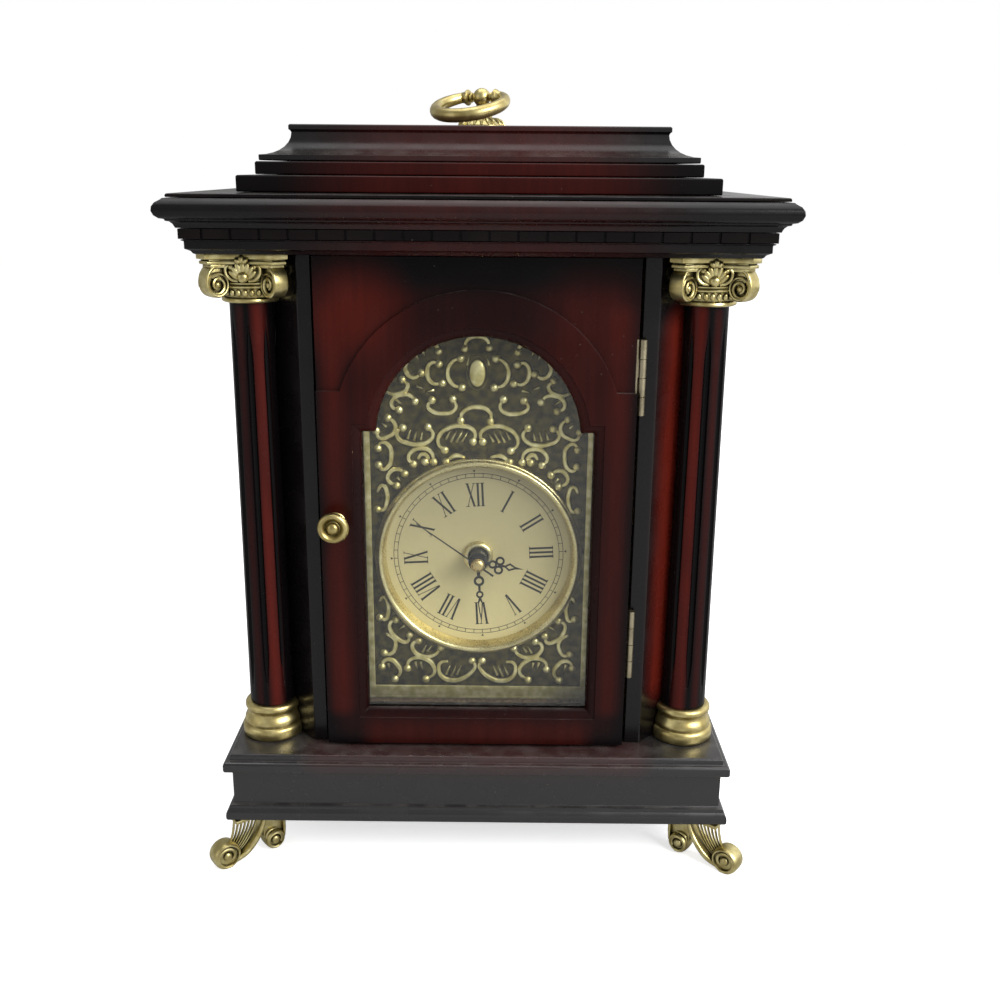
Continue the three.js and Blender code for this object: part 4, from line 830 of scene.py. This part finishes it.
def foot():
    look = footLook
    toe = (0, look["toeRadius"] - look["toeFlat"])
    heel = (-look["length"], look["heelRise"])
    half = look["halfWidth"]
    under = look["top"] - look["padThick"]
    pieces = scrollBody("toe", look["toeRadius"], half, toe)
    pieces += scrollBody("heel", look["heelRadius"], half, heel)
    pieces.append(block("pad", (heel[0] - 5.2, -4.8, under), (-4.5, 4.8, look["top"]), 0.5))
    straps = (
        ([[-20.6, 22, 0, 0.7], [-18.9, 16.2, 0, 0.85], [-15.0, 9.8, 0, 1.05], [-9.4, 4.6, 0, 1.1],
          [-3.6, 1.9, 0, 0.85], [0.6, 1.1, 0, 0.5]], 2.5, 2.7),
        ([[-28.2, 22, 0, 1], [-28.8, 17, 0, 1], [-28.9, 11, 0, 1], [-28.7, 6, 0, 0.9]], 1.3, 3.4),
        ([[-19.8, 7.6, 0, 0.9], [-20.2, 10.2, 0, 1], [-22.6, 11.6, 0, 1], [-25.4, 11.0, 0, 0.8]],
         1.2, 3.0),
    )
    for path, thick, halfWidth in straps:
        strap = sweep("strap", path, thick, halfWidth=halfWidth, around=3, along=5)
        pieces.append(settle(strap, turn=(90, 0, 0)))
    web = flatPiece("web", [[[-28.8, 21.8], [-20.2, 21.8], [-18.4, 15.4], [-18.6, 8.5],
                             [-24, 4], [-29, 8.5]]], 4.8, 0.4)
    pieces.append(settle(web, turn=(90, 0, 0)))
    for i in range(look["ribs"]):
        share = i / (look["ribs"] - 1)
        topX = -17.4 + 12.0 * share
        angle = math.radians(196 - 76 * share)
        endX = toe[0] + (look["toeRadius"] - 0.2) * math.cos(angle)
        endZ = toe[1] + (look["toeRadius"] - 0.2) * math.sin(angle)
        path = []
        for step in range(6):
            t = step / 5
            midX = topX + 0.22 * (endX - topX)
            midZ = endZ + 0.36 * (under - endZ)
            path.append([(1 - t) ** 2 * topX + 2 * t * (1 - t) * midX + t * t * endX,
                         (1 - t) ** 2 * (under + 0.3) + 2 * t * (1 - t) * midZ + t * t * endZ])
        rib = sweep("rib", path, 0.8, halfWidth=0.35, around=1, along=2)
        pieces.append(settle(rib, turn=(90, 0, 0)))
    whole = settle(joined("foot", pieces), look["place"], (0, 0, look["turn"]))
    # the small flat under the toe, on which the clock stands
    editMesh(whole, lambda: bpy.ops.mesh.bisect(plane_co=(0, 0, 0), plane_no=(0, 0, 1),
                                                use_fill=True, clear_inner=True,
                                                threshold=0.001 * mm))
    return smoothed(whole, 40)


frontRight = foot()
for end, sy in (("front", 1), ("rear", -1)):
    for side, sx in (("left", -1), ("right", 1)):
        name = f"foot_{end}_{side}"
        piece = mirroredCopy(frontRight, name + "_finished", sx, sy)
        dressed(smoothed(piece, 40), "case", "antique_brass", castBrass, name)
bpy.data.objects.remove(frontRight)
print("feet made")


knobLook = {"x": -61.4, "z": 164.1}
knobProfile = [[0, -73], [1.2, -72.9], [2.0, -72.5], [2.4, -71.8], [2.6, -71.0], [3.1, -70.7],
               [3.5, -71.0], [4.0, -71.9], [4.8, -72.6], [5.6, -72.6], [6.3, -72.1],
               [6.7, -71.2], [6.75, -70.4], [6.4, -69.6], [5.4, -68.9], [4.0, -68.2],
               [3.4, -67.0], [3.2, -65.6], [3.5, -64.6], [4.3, -64.2], [4.8, -63.8],
               [4.8, -63.3], [0, -63.3]]
knob = turnedPiece("door_knob_finished", knobProfile, (knobLook["x"], 0, knobLook["z"]), True, 64)
dressed(knob, "front_door", "antique_brass", paleBrass, "door_knob")
nodes["door_glass"].data.materials.clear()
nodes["door_glass"].data.materials.append(glass)

for name in ("hinge_case_leaf_lower", "hinge_case_leaf_upper", "hinge_door_leaf_lower",
             "hinge_door_leaf_upper", "back_hinge_case_leaf", "back_hinge_door_leaf"):
    refined(name, 0.12, hingeBrass, "bright_brass", angle=40)
backKnob = turnedPiece("back_door_knob_finished", [
    [0, 57.8], [3.4, 57.8], [3.3, 58.6], [2.6, 59.6], [2.4, 61.4], [3.2, 62.4], [4.5, 63.1],
    [5.0, 64.1], [4.8, 65.3], [3.9, 66.1], [2.2, 66.45], [0, 66.5]], (-48, 0, 146.6), True, 48)
dressed(backKnob, "back_door", "bright_brass", brightBrass, "back_door_knob")
refined("strike_plate", 0.1, nickel, "steel")
refined("catch_magnet", 0.3, blackPaint, "black_hands")
print("door furniture made")


plateLook = {"front": -42.0, "mirror": -0.4, "bead": 1.9, "line": 2.6}
# Paths are x, z from the dial's centre; B at an end asks for a bead there.
scrollPaths = (
    ("B", [[-8, 91], [-11.6, 89.5], [-13.6, 84.5], [-11.6, 79.6], [-7.4, 78.2]], "B"),
    ("", [[-22.4, 95.6], [-20.5, 97.4], [-18.4, 96.4], [-17.5, 94]], "B"),
    ("B", [[-17.4, 88.4], [-20.6, 89], [-22.6, 84.6], [-20.2, 80], [-16, 80]], "B"),
    ("", [[-30.6, 90], [-32, 86], [-28.6, 82.4], [-25, 84.4]], "B"),
    ("B", [[-33.4, 81.4], [-31, 78.6], [-36, 75], [-41, 76]], ""),
    ("B", [[-35, 68], [-38, 69.4], [-37.4, 73], [-33.6, 74.8], [-30, 74.4], [-28, 72]], "B"),
    ("B", [[-20.5, 72.5], [-22.4, 69.8], [-20, 67.3], [-16, 66.6], [-12, 67.2], [-10, 69.8],
           [-11.5, 73]], "B"),
    ("B", [[-40, 64.4], [-37.2, 62.2], [-37, 58.6], [-40, 56], [-44, 55.4], [-45.2, 58.6]], "B"),
    ("B", [[-33.5, 60], [-36, 58], [-35.4, 55], [-32, 53.2], [-26, 52.6], [-21.6, 54.4],
           [-20.2, 57.4], [-22.4, 60.4]], "B"),
    ("B", [[-15, 50], [-17.8, 52.6], [-17.2, 57], [-12.4, 60.4], [-7, 61], [-3, 59.6],
           [-1.5, 57], [-2.6, 54]], "B"),
    ("B", [[-44.6, 50.6], [-43, 53.2], [-39.6, 51.6], [-38.8, 47], [-40, 42.6], [-43, 41],
           [-44.4, 43]], "B"),
    ("B", [[-29, 43.5], [-31.2, 46], [-29.4, 49.6], [-25, 50.8], [-21, 49], [-20, 44.6]], "B"),
    ("", [[-27, 46], [-25, 48.2], [-22.6, 46.4], [-23.8, 44.6]], "B"),
    ("B", [[-33, 39], [-35.6, 41], [-39.2, 40], [-40.4, 36], [-36.6, 33.5]], "B"),
    ("", [[-45.4, 30.4], [-43, 33.6], [-41, 30], [-41.2, 25.6], [-43, 22], [-45.4, 22.4]], "B"),
    ("", [[-45.4, -22], [-43.6, -19.8], [-41.6, -23], [-41.6, -28], [-43, -31], [-45.4, -30]],
     "B"),
    ("B", [[-38, -31], [-40.8, -32.8], [-40.4, -37], [-37, -41], [-33, -42], [-31.8, -38.6]], "B"),
    ("", [[-42.8, -38], [-38.8, -41], [-38.6, -45], [-41, -48.4], [-43.8, -47.8]], "B"),
    ("B", [[-27.5, -41.5], [-30.4, -43], [-30, -46.6], [-26, -49.4], [-20, -48.4],
           [-17.5, -45]], "B"),
    ("B", [[-45, -55], [-44, -52], [-41, -51.2], [-38, -53.6], [-36.4, -57.6], [-39, -61]], "B"),
    ("B", [[-33, -55.5], [-32.4, -52], [-28, -49.9], [-24, -51], [-21, -54], [-20.6, -58],
           [-24.4, -61]], "B"),
    ("", [[-14, -51.8], [-17.4, -52.4], [-18.4, -56], [-16.6, -60], [-12, -61.6], [-7, -60.4],
          [-3, -57.2], [-1.3, -54], [-2.8, -51.4]], "B"),
    ("B", [[-14.5, 44.8], [-10.5, 47.6], [-6, 46.9]], ""),
)
middlePaths = (
    ("B", [[-6.2, 95.2], [-5.4, 98.6], [-0.9, 100.6], [3.6, 98.8], [4.4, 95.8]], "B"),
    ("B", [[-8, 63.4], [-7.2, 67], [-1, 69.6], [5, 67], [5, 63.2]], "B"),
)
# Short leaf strokes inside the shells.
strokePaths = (
    [[-24.6, 95], [-23.4, 91.6]], [[-27.6, 93], [-26, 90]], [[-31.4, 55], [-30.2, 59]],
    [[-28.6, 54.4], [-27.4, 58.8]], [[-25.6, 54.6], [-24.8, 58.2]], [[-14.6, 55], [-12.6, 58.6]],
    [[-12.4, 53.8], [-9.8, 58.8]], [[-10, 53.6], [-7.2, 58.8]], [[-7.4, 54], [-5, 58]],
    [[-26, -47.4], [-24, -43.6]], [[-23.6, -46.8], [-21.4, -43.8]], [[-15, -58.6], [-13, -54]],
    [[-12.6, -59.4], [-10.2, -54]], [[-10, -58.8], [-7.8, -53.8]], [[-29.4, -52], [-28.2, -56.6]],
    [[-26.8, -52.2], [-26, -56.4]], [[-42, -53], [-41, -57]], [[-36.4, 72.6], [-33.6, 70.6]],
    [[-40.6, 60.4], [-43, 62.2]], [[-34, -34], [-37, -36]], [[-5.2, 88], [-4.2, 91.8]],
    [[-36.4, 37.4], [-34.6, 35.6]], [[-19.4, 77], [-23.4, 76]], [[-27.4, 78.6], [-24, 77.4]],
)


def mirroredPath(path):
    return [[2 * plateLook["mirror"] - x, z] for x, z in path]


# A scroll that swells in its middle and thins to its ends.
def reliefLine(path, thick):
    count = len(path) - 1
    swelling = [[x, z, 0, 0.62 + 0.42 * math.sin(math.pi * i / count)]
                for i, (x, z) in enumerate(path)]
    return sweep("scroll", swelling, thick, around=1, along=4)


def reliefBeads(path, first, last):
    ends = [path[0]] * (first == "B") + [path[-1]] * (last == "B")
    return [ball("bead", (x, z, 0), (plateLook["bead"],) * 3, 12, 8) for x, z in ends]


def reliefPieces():
    pieces = []
    for first, path, last in scrollPaths:
        for way in (path, mirroredPath(path)):
            pieces.append(reliefLine(way, plateLook["line"]))
            pieces += reliefBeads(way, first, last)
    for first, path, last in middlePaths:
        pieces.append(reliefLine(path, plateLook["line"]))
        pieces += reliefBeads(path, first, last)
    for path in strokePaths:
        for way in (path, mirroredPath(path)):
            tapered = [[way[0][0], way[0][1], 0, 1.0], [way[1][0], way[1][1], 0, 0.45]]
            pieces.append(sweep("stroke", tapered, 1.6, around=1, along=2))
    pieces.append(ball("cabochon", (-0.7, 84.5, 0), (3.7, 6.2, 1.5), 32, 16))
    oval = [[x * 0.62 - 0.7, z + 84.5] for x, z in ring(0, 0, 7.4, 16)]
    pieces.append(sweep("cabochon rim", oval, 0.7, around=1, along=3, closed=True))
    return pieces


def archOutline(halfWidth, below, archRise):
    return ([[-halfWidth, -below], [halfWidth, -below]]
            + arc(0, archRise, halfWidth, 0, 180, 48))


def dialPlate():
    relief = joined("relief", reliefPieces())
    relief = settle(relief, scale=(1, 1, 0.85))
    border = flatPiece("border", [archOutline(53.6, 70.6, 58), archOutline(48.2, 64.2, 58)],
                       0.85, 0.1)
    edges = [sweep("line", [[x, z] for x, z in archOutline(half, below, 58)], 0.45, around=1,
                   along=1, closed=True) for half, below in ((48.6, 64.6), (52.6, 69.6))]
    edges = [settle(line, (0, 0, 0.75)) for line in edges]
    front = joined("front", [relief, settle(border, (0, 0, 0.42))] + edges)
    front = settle(front, (0, plateLook["front"], caseCentre["dialZ"]), (90, 0, 0))
    sheet = looseCopy("dial_plate", "sheet")
    mergeFacets(sheet)
    return smoothed(joined("dial_plate_finished", [sheet, front]), 40)


dressed(dialPlate(), "case", "antique_brass", reliefBrass, "dial_plate")
print("dial plate made")


bezel = turnedPiece("dial_bezel_finished", [
    [42.15, -39.5], [42.6, -42.6], [42.75, -44.2], [43.0, -45.1], [43.4, -45.8], [44.0, -46.2],
    [44.7, -46.3], [45.3, -46.1], [45.7, -45.6], [45.9, -45.0], [46.0, -44.6], [46.4, -44.5],
    [46.7, -44.1], [46.75, -43.4], [46.75, -42.3], [43.55, -42.3], [43.55, -39.5],
    [42.15, -39.5]], (0, 0, caseCentre["dialZ"]), True, 128)
dressed(bezel, "case", "bright_brass", paleSatin, "dial_bezel")
refined("dial_disc", 0.05, champagne, "dial_face")

printLook = {"face": -39.2, "inner": 23.2, "outer": 34.2, "thick": 0.95, "thin": 0.34,
             "serif": 0.34, "turn": -3.0, "trackInner": 36.9, "trackOuter": 38.7}
numerals = ("I", "II", "III", "IIII", "V", "VI", "VII", "VIII", "IX", "X", "XI", "XII")
advance = {"I": 2.05, "V": 4.3, "X": 4.5}


def onDial(angle, u, v):
    a = math.radians(angle)
    return [v * math.sin(a) + u * math.cos(a), v * math.cos(a) - u * math.sin(a)]


def leaning(angle, u0, u1, width):
    inner, outer = printLook["inner"], printLook["outer"]
    return [onDial(angle, u1 - width / 2, inner), onDial(angle, u1 + width / 2, inner),
            onDial(angle, u0 + width / 2, outer), onDial(angle, u0 - width / 2, outer)]


def numeralStrokes():
    look = printLook
    thick, thin, serifs = [], [], []
    for hour, letters in enumerate(numerals, 1):
        angle = 30 * hour + look["turn"]
        at = -sum(advance[letter] for letter in letters) / 2
        for letter in letters:
            width = advance[letter]
            middle, reach = at + width / 2, width / 2 - 0.75
            spans = [(middle - 0.92, middle + 0.92)]
            if letter == "I":
                thick.append(leaning(angle, middle, middle, look["thick"]))
                feet = spans
            elif letter == "V":
                thick.append(leaning(angle, middle - reach, middle - 0.1, look["thick"]))
                thin.append(leaning(angle, middle + reach, middle + 0.25, look["thin"]))
                spans = [(middle - reach - 0.85, middle - reach + 0.85),
                         (middle + reach - 0.65, middle + reach + 0.65)]
                feet = []
            else:
                thick.append(leaning(angle, middle - reach, middle + reach, look["thick"]))
                thin.append(leaning(angle, middle + reach, middle - reach, look["thin"]))
                spans = [(middle - reach - 0.8, middle - reach + 0.8),
                         (middle + reach - 0.6, middle + reach + 0.6)]
                feet = spans
            top, foot = look["outer"] - look["serif"] / 2, look["inner"] + look["serif"] / 2
            serifs += [[onDial(angle, a, top), onDial(angle, b, top)] for a, b in spans]
            serifs += [[onDial(angle, a, foot), onDial(angle, b, foot)] for a, b in feet]
            at += width
    return thick, thin, serifs


def minuteTrack():
    look = printLook
    rings = []
    for radius in (look["trackInner"], look["trackOuter"]):
        rings += [ring(0, 0, radius + 0.13, 120), ring(0, 0, radius - 0.13, 120)]
    ticks = [[onDial(6 * i + look["turn"], 0, look["trackInner"]),
              onDial(6 * i + look["turn"], 0, look["trackOuter"])] for i in range(60)]
    marks = [[onDial(30 * i + look["turn"], -0.62, look["trackOuter"] + 1.5),
              onDial(30 * i + look["turn"], 0.62, look["trackOuter"] + 1.5),
              onDial(30 * i + look["turn"], 0, look["trackOuter"] + 0.35)] for i in range(12)]
    return rings, ticks, marks


thick, thin, serifs = numeralStrokes()
rings, ticks, marks = minuteTrack()
layers = [inkLines("serifs", serifs, printLook["serif"]), inkLines("ticks", ticks, 0.28)]
for outlines, depth in ((thick, 0.06), (thin, 0.05), (rings, 0.05), (marks, 0.045)):
    layer = flatPiece("layer", outlines, depth)
    layers.append(settle(layer, (0, 0, depth / 2)))
printed = settle(joined("dial_figures", layers),
                 (0, printLook["face"], caseCentre["dialZ"]), (90, 0, 0))
dressed(printed, "case", "black_hands", blackPaint)
print("dial made")


handLook = {"thick": 0.6, "hourAngle": 99.5, "minuteAngle": 176.5, "secondAngle": 305.5,
            "hourFront": -48.4, "minuteFront": -50.8, "secondFront": -53.2}


# Sheets are (outlines, share of the hand's thickness), drawn pointing to twelve.
def handPiece(name, sheets, angle, front):
    parts = []
    for outlines, share in sheets:
        parts.append(flatPiece("part", outlines, handLook["thick"] * share, 0.06))
    whole = settle(joined(name, parts), (0, 0, handLook["thick"] / 2), (0, 0, -angle))
    whole = settle(whole, (0, front, caseCentre["dialZ"]), (90, 0, 0))
    return smoothed(whole, 40)


def bar(halfLow, low, halfHigh, high):
    return [[[-halfLow, low], [halfLow, low], [halfHigh, high], [-halfHigh, high]]]


def openRing(x, y, outer, inner, steps=28):
    return [ring(x, y, outer, steps), ring(x, y, inner, steps)]


hourHand = handPiece("hour_hand_finished", [
    (openRing(0, 0, 4.4, 2.55), 1.0), (bar(1.0, 4.0, 0.8, 5.2), 0.9),
    (openRing(0, 6.7, 1.95, 1.05), 0.96), (openRing(-2.15, 9.7, 2.1, 1.15), 0.92),
    (openRing(2.15, 9.7, 2.1, 1.15), 0.94), (bar(0.55, 9.2, 0.5, 12.4), 0.88),
    ([[[0, 11.8], [1.9, 14.3], [0.55, 17.0], [0, 20.5], [-0.55, 17.0], [-1.9, 14.3]],
      [[0, 13.0], [1.05, 14.4], [0, 16.5], [-1.05, 14.4]]], 1.0)],
    handLook["hourAngle"], handLook["hourFront"])
dressed(hourHand, "hour_hand", "black_hands", blackPaint, "hour_hand")

minuteHand = handPiece("minute_hand_finished", [
    (openRing(0, 0, 3.2, 1.65), 1.0), (bar(0.8, 2.9, 0.7, 6.3), 0.9),
    (openRing(0, 8.2, 2.4, 1.35), 0.96), (bar(0.55, 10.4, 0.5, 13.4), 0.9),
    (openRing(0, 14.7, 1.7, 0.9), 0.96),
    ([[[-0.5, 16.2], [0.5, 16.2], [1.15, 18.6], [0.75, 23.0], [0, 28.0], [-0.75, 23.0],
       [-1.15, 18.6]], [[0, 17.6], [0.6, 18.9], [0.25, 23.4], [0, 24.6], [-0.25, 23.4],
                        [-0.6, 18.9]]], 1.0)],
    handLook["minuteAngle"], handLook["minuteFront"])
dressed(minuteHand, "minute_hand", "black_hands", blackPaint, "minute_hand")

secondHand = handPiece("second_hand_blade", [
    ([[[-0.42, -8.5], [0.42, -8.5], [0.34, 0], [0.15, 33.5], [-0.15, 33.5], [-0.34, 0]]], 0.9)],
    handLook["secondAngle"], handLook["secondFront"])
dressed(secondHand, "second_hand", "black_hands", blackPaint, "second_hand")
secondCap = turnedPiece("second_hand_cap", [
    [0, -55.2], [1.2, -55.15], [2.2, -54.8], [2.9, -54.2], [3.15, -53.4], [2.9, -52.8],
    [1.4, -52.5], [0.6, -52.4], [0.6, -17], [0, -17]], (0, 0, caseCentre["dialZ"]), True, 48)
dressed(secondCap, "second_hand", "bright_brass", capBrass, "second_hand")
nut = turnedPiece("hand_nut_finished", [
    [4.2, -39.5], [6.6, -39.5], [6.75, -39.8], [6.75, -41.4], [6.4, -42.1], [5.6, -42.5],
    [4.8, -42.4], [4.3, -41.8], [4.2, -39.5]], (0, 0, caseCentre["dialZ"]), True, 64)
dressed(nut, "case", "bright_brass", paleSatin, "hand_nut")
print("hands made")


for name, edge, material, slot in (
        ("movement_case", 0.3, blackPlastic, "black_plastic"),
        ("movement_cover", 0.3, blackPlastic, "black_plastic"),
        ("setting_knob", 0.15, blackPlastic, "black_plastic"),
        ("minute_wheel", 0.06, whitePlastic, "white_plastic"),
        ("hour_wheel", 0.05, brightBrass, "bright_brass"),
        ("cannon_pinion", 0.05, brightBrass, "bright_brass"),
        ("coil", 0.25, copper, "copper_winding"),
        ("circuit_board", 0.1, boardGreen, "circuit_board"),
        ("contact_positive", 0.12, nickel, "steel"),
        ("contact_negative", 0.12, nickel, "steel"),
        ("battery", 0.2, canSleeve, "battery_can")):
    refined(name, edge, material, slot)
print("movement made")


handleLook = {"capTop": 328.4, "ballZ": 341.5, "turn": 26.0, "droop": 19.0, "ringRadius": 15.0,
              "halfChord": 9.5, "tubeMiddle": 2.9, "tubeEnd": 2.2, "petals": 20}


def rosette():
    base = handleLook["capTop"] + 0.3
    pieces = [turnedPiece("dish", [
        [2.3, 0], [10.3, 0], [10.5, 0.3], [10.4, 0.9], [9.9, 1.5], [9.2, 2.2], [7.8, 3.1],
        [6.2, 3.7], [5.2, 3.9], [4.8, 4.3], [4.5, 5.0], [3.8, 5.2], [2.3, 5.2], [2.3, 0]],
        (0, 0, base), steps=80)]
    for i in range(handleLook["petals"]):
        petal = sweep("petal", [[4.9, 3.9, 0, 0.5], [7.2, 3.5, 0, 1.0], [9.2, 2.3, 0, 1.1],
                                [10.1, 0.9, 0, 0.9]], 1.3, around=2, along=3)
        petal = settle(petal, (0, 0, base), (90, 0, 0))
        pieces.append(settle(petal, turn=(0, 0, 360 / handleLook["petals"] * i)))
    return smoothed(joined("handle_rosette_finished", pieces), 40)


def handlePost():
    top = handleLook["ballZ"]
    profile = [[0, 300.3], [2, 300.3], [2, 334.2], [3.5, 334.2], [3.8, 334.6], [3.7, 335.2],
               [3.0, 335.8], [2.4, 336.6], [2.3, 337.4]]
    profile += [[3.9 * math.cos(math.radians(a)), top + 3.9 * math.sin(math.radians(a))]
                for a in range(-50, 90, 10)] + [[0, top + 3.9]]
    return turnedPiece("handle_post_finished", profile, steps=56)


def handleRing():
    look = handleLook
    centre = math.sqrt(look["ringRadius"] ** 2 - look["halfChord"] ** 2)
    start = math.degrees(math.atan2(-centre, look["halfChord"]))
    sweepAngle = 360 - (180 + 2 * start)
    path = []
    for i in range(41):
        share = i / 40
        angle = math.radians(start + sweepAngle * share)
        swell = math.sin(math.pi * share) ** 0.7 if 0 < share < 1 else 0
        radius = look["tubeEnd"] + (look["tubeMiddle"] - look["tubeEnd"]) * swell
        path.append([look["ringRadius"] * math.cos(angle),
                     centre + look["ringRadius"] * math.sin(angle), 0, radius / 2.9])
    pieces = [sweep("tube", path, 5.8, around=6, along=3)]
    for side in (-1, 1):
        collar = turnedPiece("collar", [
            [0, 2], [1.05, 2], [1.05, 4.2], [1.9, 4.3], [2.15, 4.8], [1.9, 5.4], [1.5, 5.8],
            [2.6, 6.0], [3.3, 6.4], [3.4, 6.9], [3.1, 7.5], [2.5, 8.2], [2.3, 9.4],
            [2.1, 10.1], [0, 10.1]], steps=40)
        pieces.append(settle(collar, turn=(0, 90 * side, 0)))
    turn, droop = math.radians(look["turn"]), math.radians(look["droop"])
    pivot = Vector((math.cos(turn), -math.sin(turn), 0))
    away = Vector((-math.sin(turn) * math.cos(droop), -math.cos(turn) * math.cos(droop),
                   -math.sin(droop)))
    normal = pivot.cross(away)
    piece = joined("handle_ring_finished", pieces)
    placing = Matrix((pivot, away, normal)).transposed().to_4x4()
    placing.translation = Vector((0, 0, look["ballZ"] * mm))
    piece.matrix_world = placing
    choose(piece)
    bpy.ops.object.transform_apply(location=True, rotation=True, scale=True)
    return smoothed(piece, 45)


dressed(rosette(), "case", "antique_brass", castBrass, "handle_rosette")
dressed(handlePost(), "case", "antique_brass", paleBrass, "handle_post")
dressed(handleRing(), "handle_ring", "antique_brass", paleBrass, "handle_ring")
print("handle made")

floorLook = {"size": 6, "paper": "f2f2f2", "paperInMetal": "b4b4b4", "lift": 0.6}

deselectAll()
bpy.ops.mesh.primitive_plane_add(size=floorLook["size"], location=(0, 0, 0))
floor = bpy.context.object
floor.name = "floor"
# Matt paper: it is lifted to white for the camera alone, and greyer where metal mirrors it.
paper, tree, shader, place = newMaterial("white paper sweep", Roughness=0.9,
                                         Specular_IOR_Level=0.0)
rays = addNode(tree, "LightPath").node.outputs
painted(tree, shader, rays["Is Glossy Ray"], floorLook["paper"], floorLook["paperInMetal"])
lift = addNode(tree, "Math", {"operation": "MULTIPLY", 0: rays["Is Camera Ray"],
                              1: floorLook["lift"]})
glow = addNode(tree, "Emission", {"Color": (1, 1, 1, 1), "Strength": lift})
total = addNode(tree, "AddShader", {0: shader.outputs[0], 1: glow})
tree.links.new(total, tree.nodes["Material Output"].inputs[0])
floor.data.materials.append(paper)

# The world is white to the camera, also through the glass before any bounce. Metal and lacquer
# mirror a world that brightens from left to right, and everything else gets the ambient light.
worldLook = {"ambient": 0.72, "mirrorLeft": 0.4, "mirrorRight": 1.25}
world = bpy.data.worlds.new("studio")
scene.world = world
world.use_nodes = True
tree = world.node_tree
tree.nodes.clear()
rays = addNode(tree, "LightPath").node.outputs
bounces = addNode(tree, "Math", {"operation": "ADD", 0: rays["Glossy Depth"],
                                 1: rays["Diffuse Depth"]})
unbounced = addNode(tree, "Math", {"operation": "LESS_THAN", 0: bounces, 1: 0.5})
direct = addNode(tree, "Math", {"operation": "MULTIPLY", 0: rays["Is Transmission Ray"],
                                1: unbounced})
seen = addNode(tree, "Math", {"operation": "MAXIMUM", 0: rays["Is Camera Ray"], 1: direct})
sideways = addNode(tree, "SeparateXYZ", {0: addNode(tree, "TexCoord", output="Generated")})
mirrored = addNode(tree, "MapRange", {**eased, 0: sideways, 1: -0.2, 2: 0.8,
                                      3: worldLook["mirrorLeft"], 4: worldLook["mirrorRight"]})
mirrored = addNode(tree, "Math", {"operation": "MULTIPLY", 0: rays["Is Glossy Ray"], 1: mirrored})
dull = addNode(tree, "Math", {"operation": "SUBTRACT", 0: 1.0, 1: rays["Is Glossy Ray"]})
plain = addNode(tree, "Math", {"operation": "MULTIPLY", 0: dull, 1: worldLook["ambient"]})
strength = addNode(tree, "Math", {"operation": "MAXIMUM", 0: mirrored, 1: plain})
strength = addNode(tree, "Math", {"operation": "MAXIMUM", 0: strength, 1: seen})
backdrop = addNode(tree, "Background", {"Color": (1, 1, 1, 1), "Strength": strength})
tree.links.new(backdrop, tree.nodes.new("ShaderNodeOutputWorld").inputs[0])


def softbox(name, place, target, size, power):
    data = bpy.data.lights.new(name, "AREA")
    data.shape = "RECTANGLE"
    data.size, data.size_y = size
    data.energy = power
    lamp = bpy.data.objects.new(name, data)
    scene.collection.objects.link(lamp)
    lamp.location = place
    lamp.rotation_euler = (Vector(target) - Vector(place)).to_track_quat("-Z", "Y").to_euler()


# Each is place, target and size in metres, and power in watts.
softboxes = {
    "key": ((0.9, -0.8, 0.9), (0, 0, 0.16), (0.8, 0.8), 21.0),
    "fill": ((-1.1, -0.7, 0.5), (0, 0, 0.16), (0.9, 0.9), 1.5),
    "top": ((0.0, 0.1, 1.3), (0, 0, 0.2), (1.0, 1.0), 6.0),
}
for name, values in softboxes.items():
    softbox(name, *values)

cameraLook = {"place": (0.0082, -0.5143, 0.3114), "pitch": 16.36, "yaw": 0.211, "roll": 0.448,
              "lens": 39.569, "sensor": 36, "shiftX": 0.00696, "shiftY": -0.0088}
pitch, yaw, roll = (math.radians(cameraLook[k]) for k in ("pitch", "yaw", "roll"))
ahead = Vector((0, math.cos(pitch), -math.sin(pitch)))
upward = Vector((0, math.sin(pitch), math.cos(pitch)))
rightward = Vector((1, 0, 0))
spinZ = Matrix.Rotation(yaw, 3, "Z")
ahead, upward, rightward = spinZ @ ahead, spinZ @ upward, spinZ @ rightward
rolledRight = math.cos(roll) * rightward + math.sin(roll) * upward
rolledUp = -math.sin(roll) * rightward + math.cos(roll) * upward
cameraData = bpy.data.cameras.new("camera")
cameraData.sensor_width = cameraLook["sensor"]
cameraData.lens = cameraLook["lens"]
cameraData.shift_x = cameraLook["shiftX"]
cameraData.shift_y = cameraLook["shiftY"]
cameraData.clip_start = 0.01
camera = bpy.data.objects.new("camera", cameraData)
scene.collection.objects.link(camera)
placing = Matrix((rolledRight, rolledUp, -ahead)).transposed().to_4x4()
placing.translation = Vector(cameraLook["place"])
camera.matrix_world = placing
scene.camera = camera
scene.view_settings.view_transform = "Standard"
print("stage made")
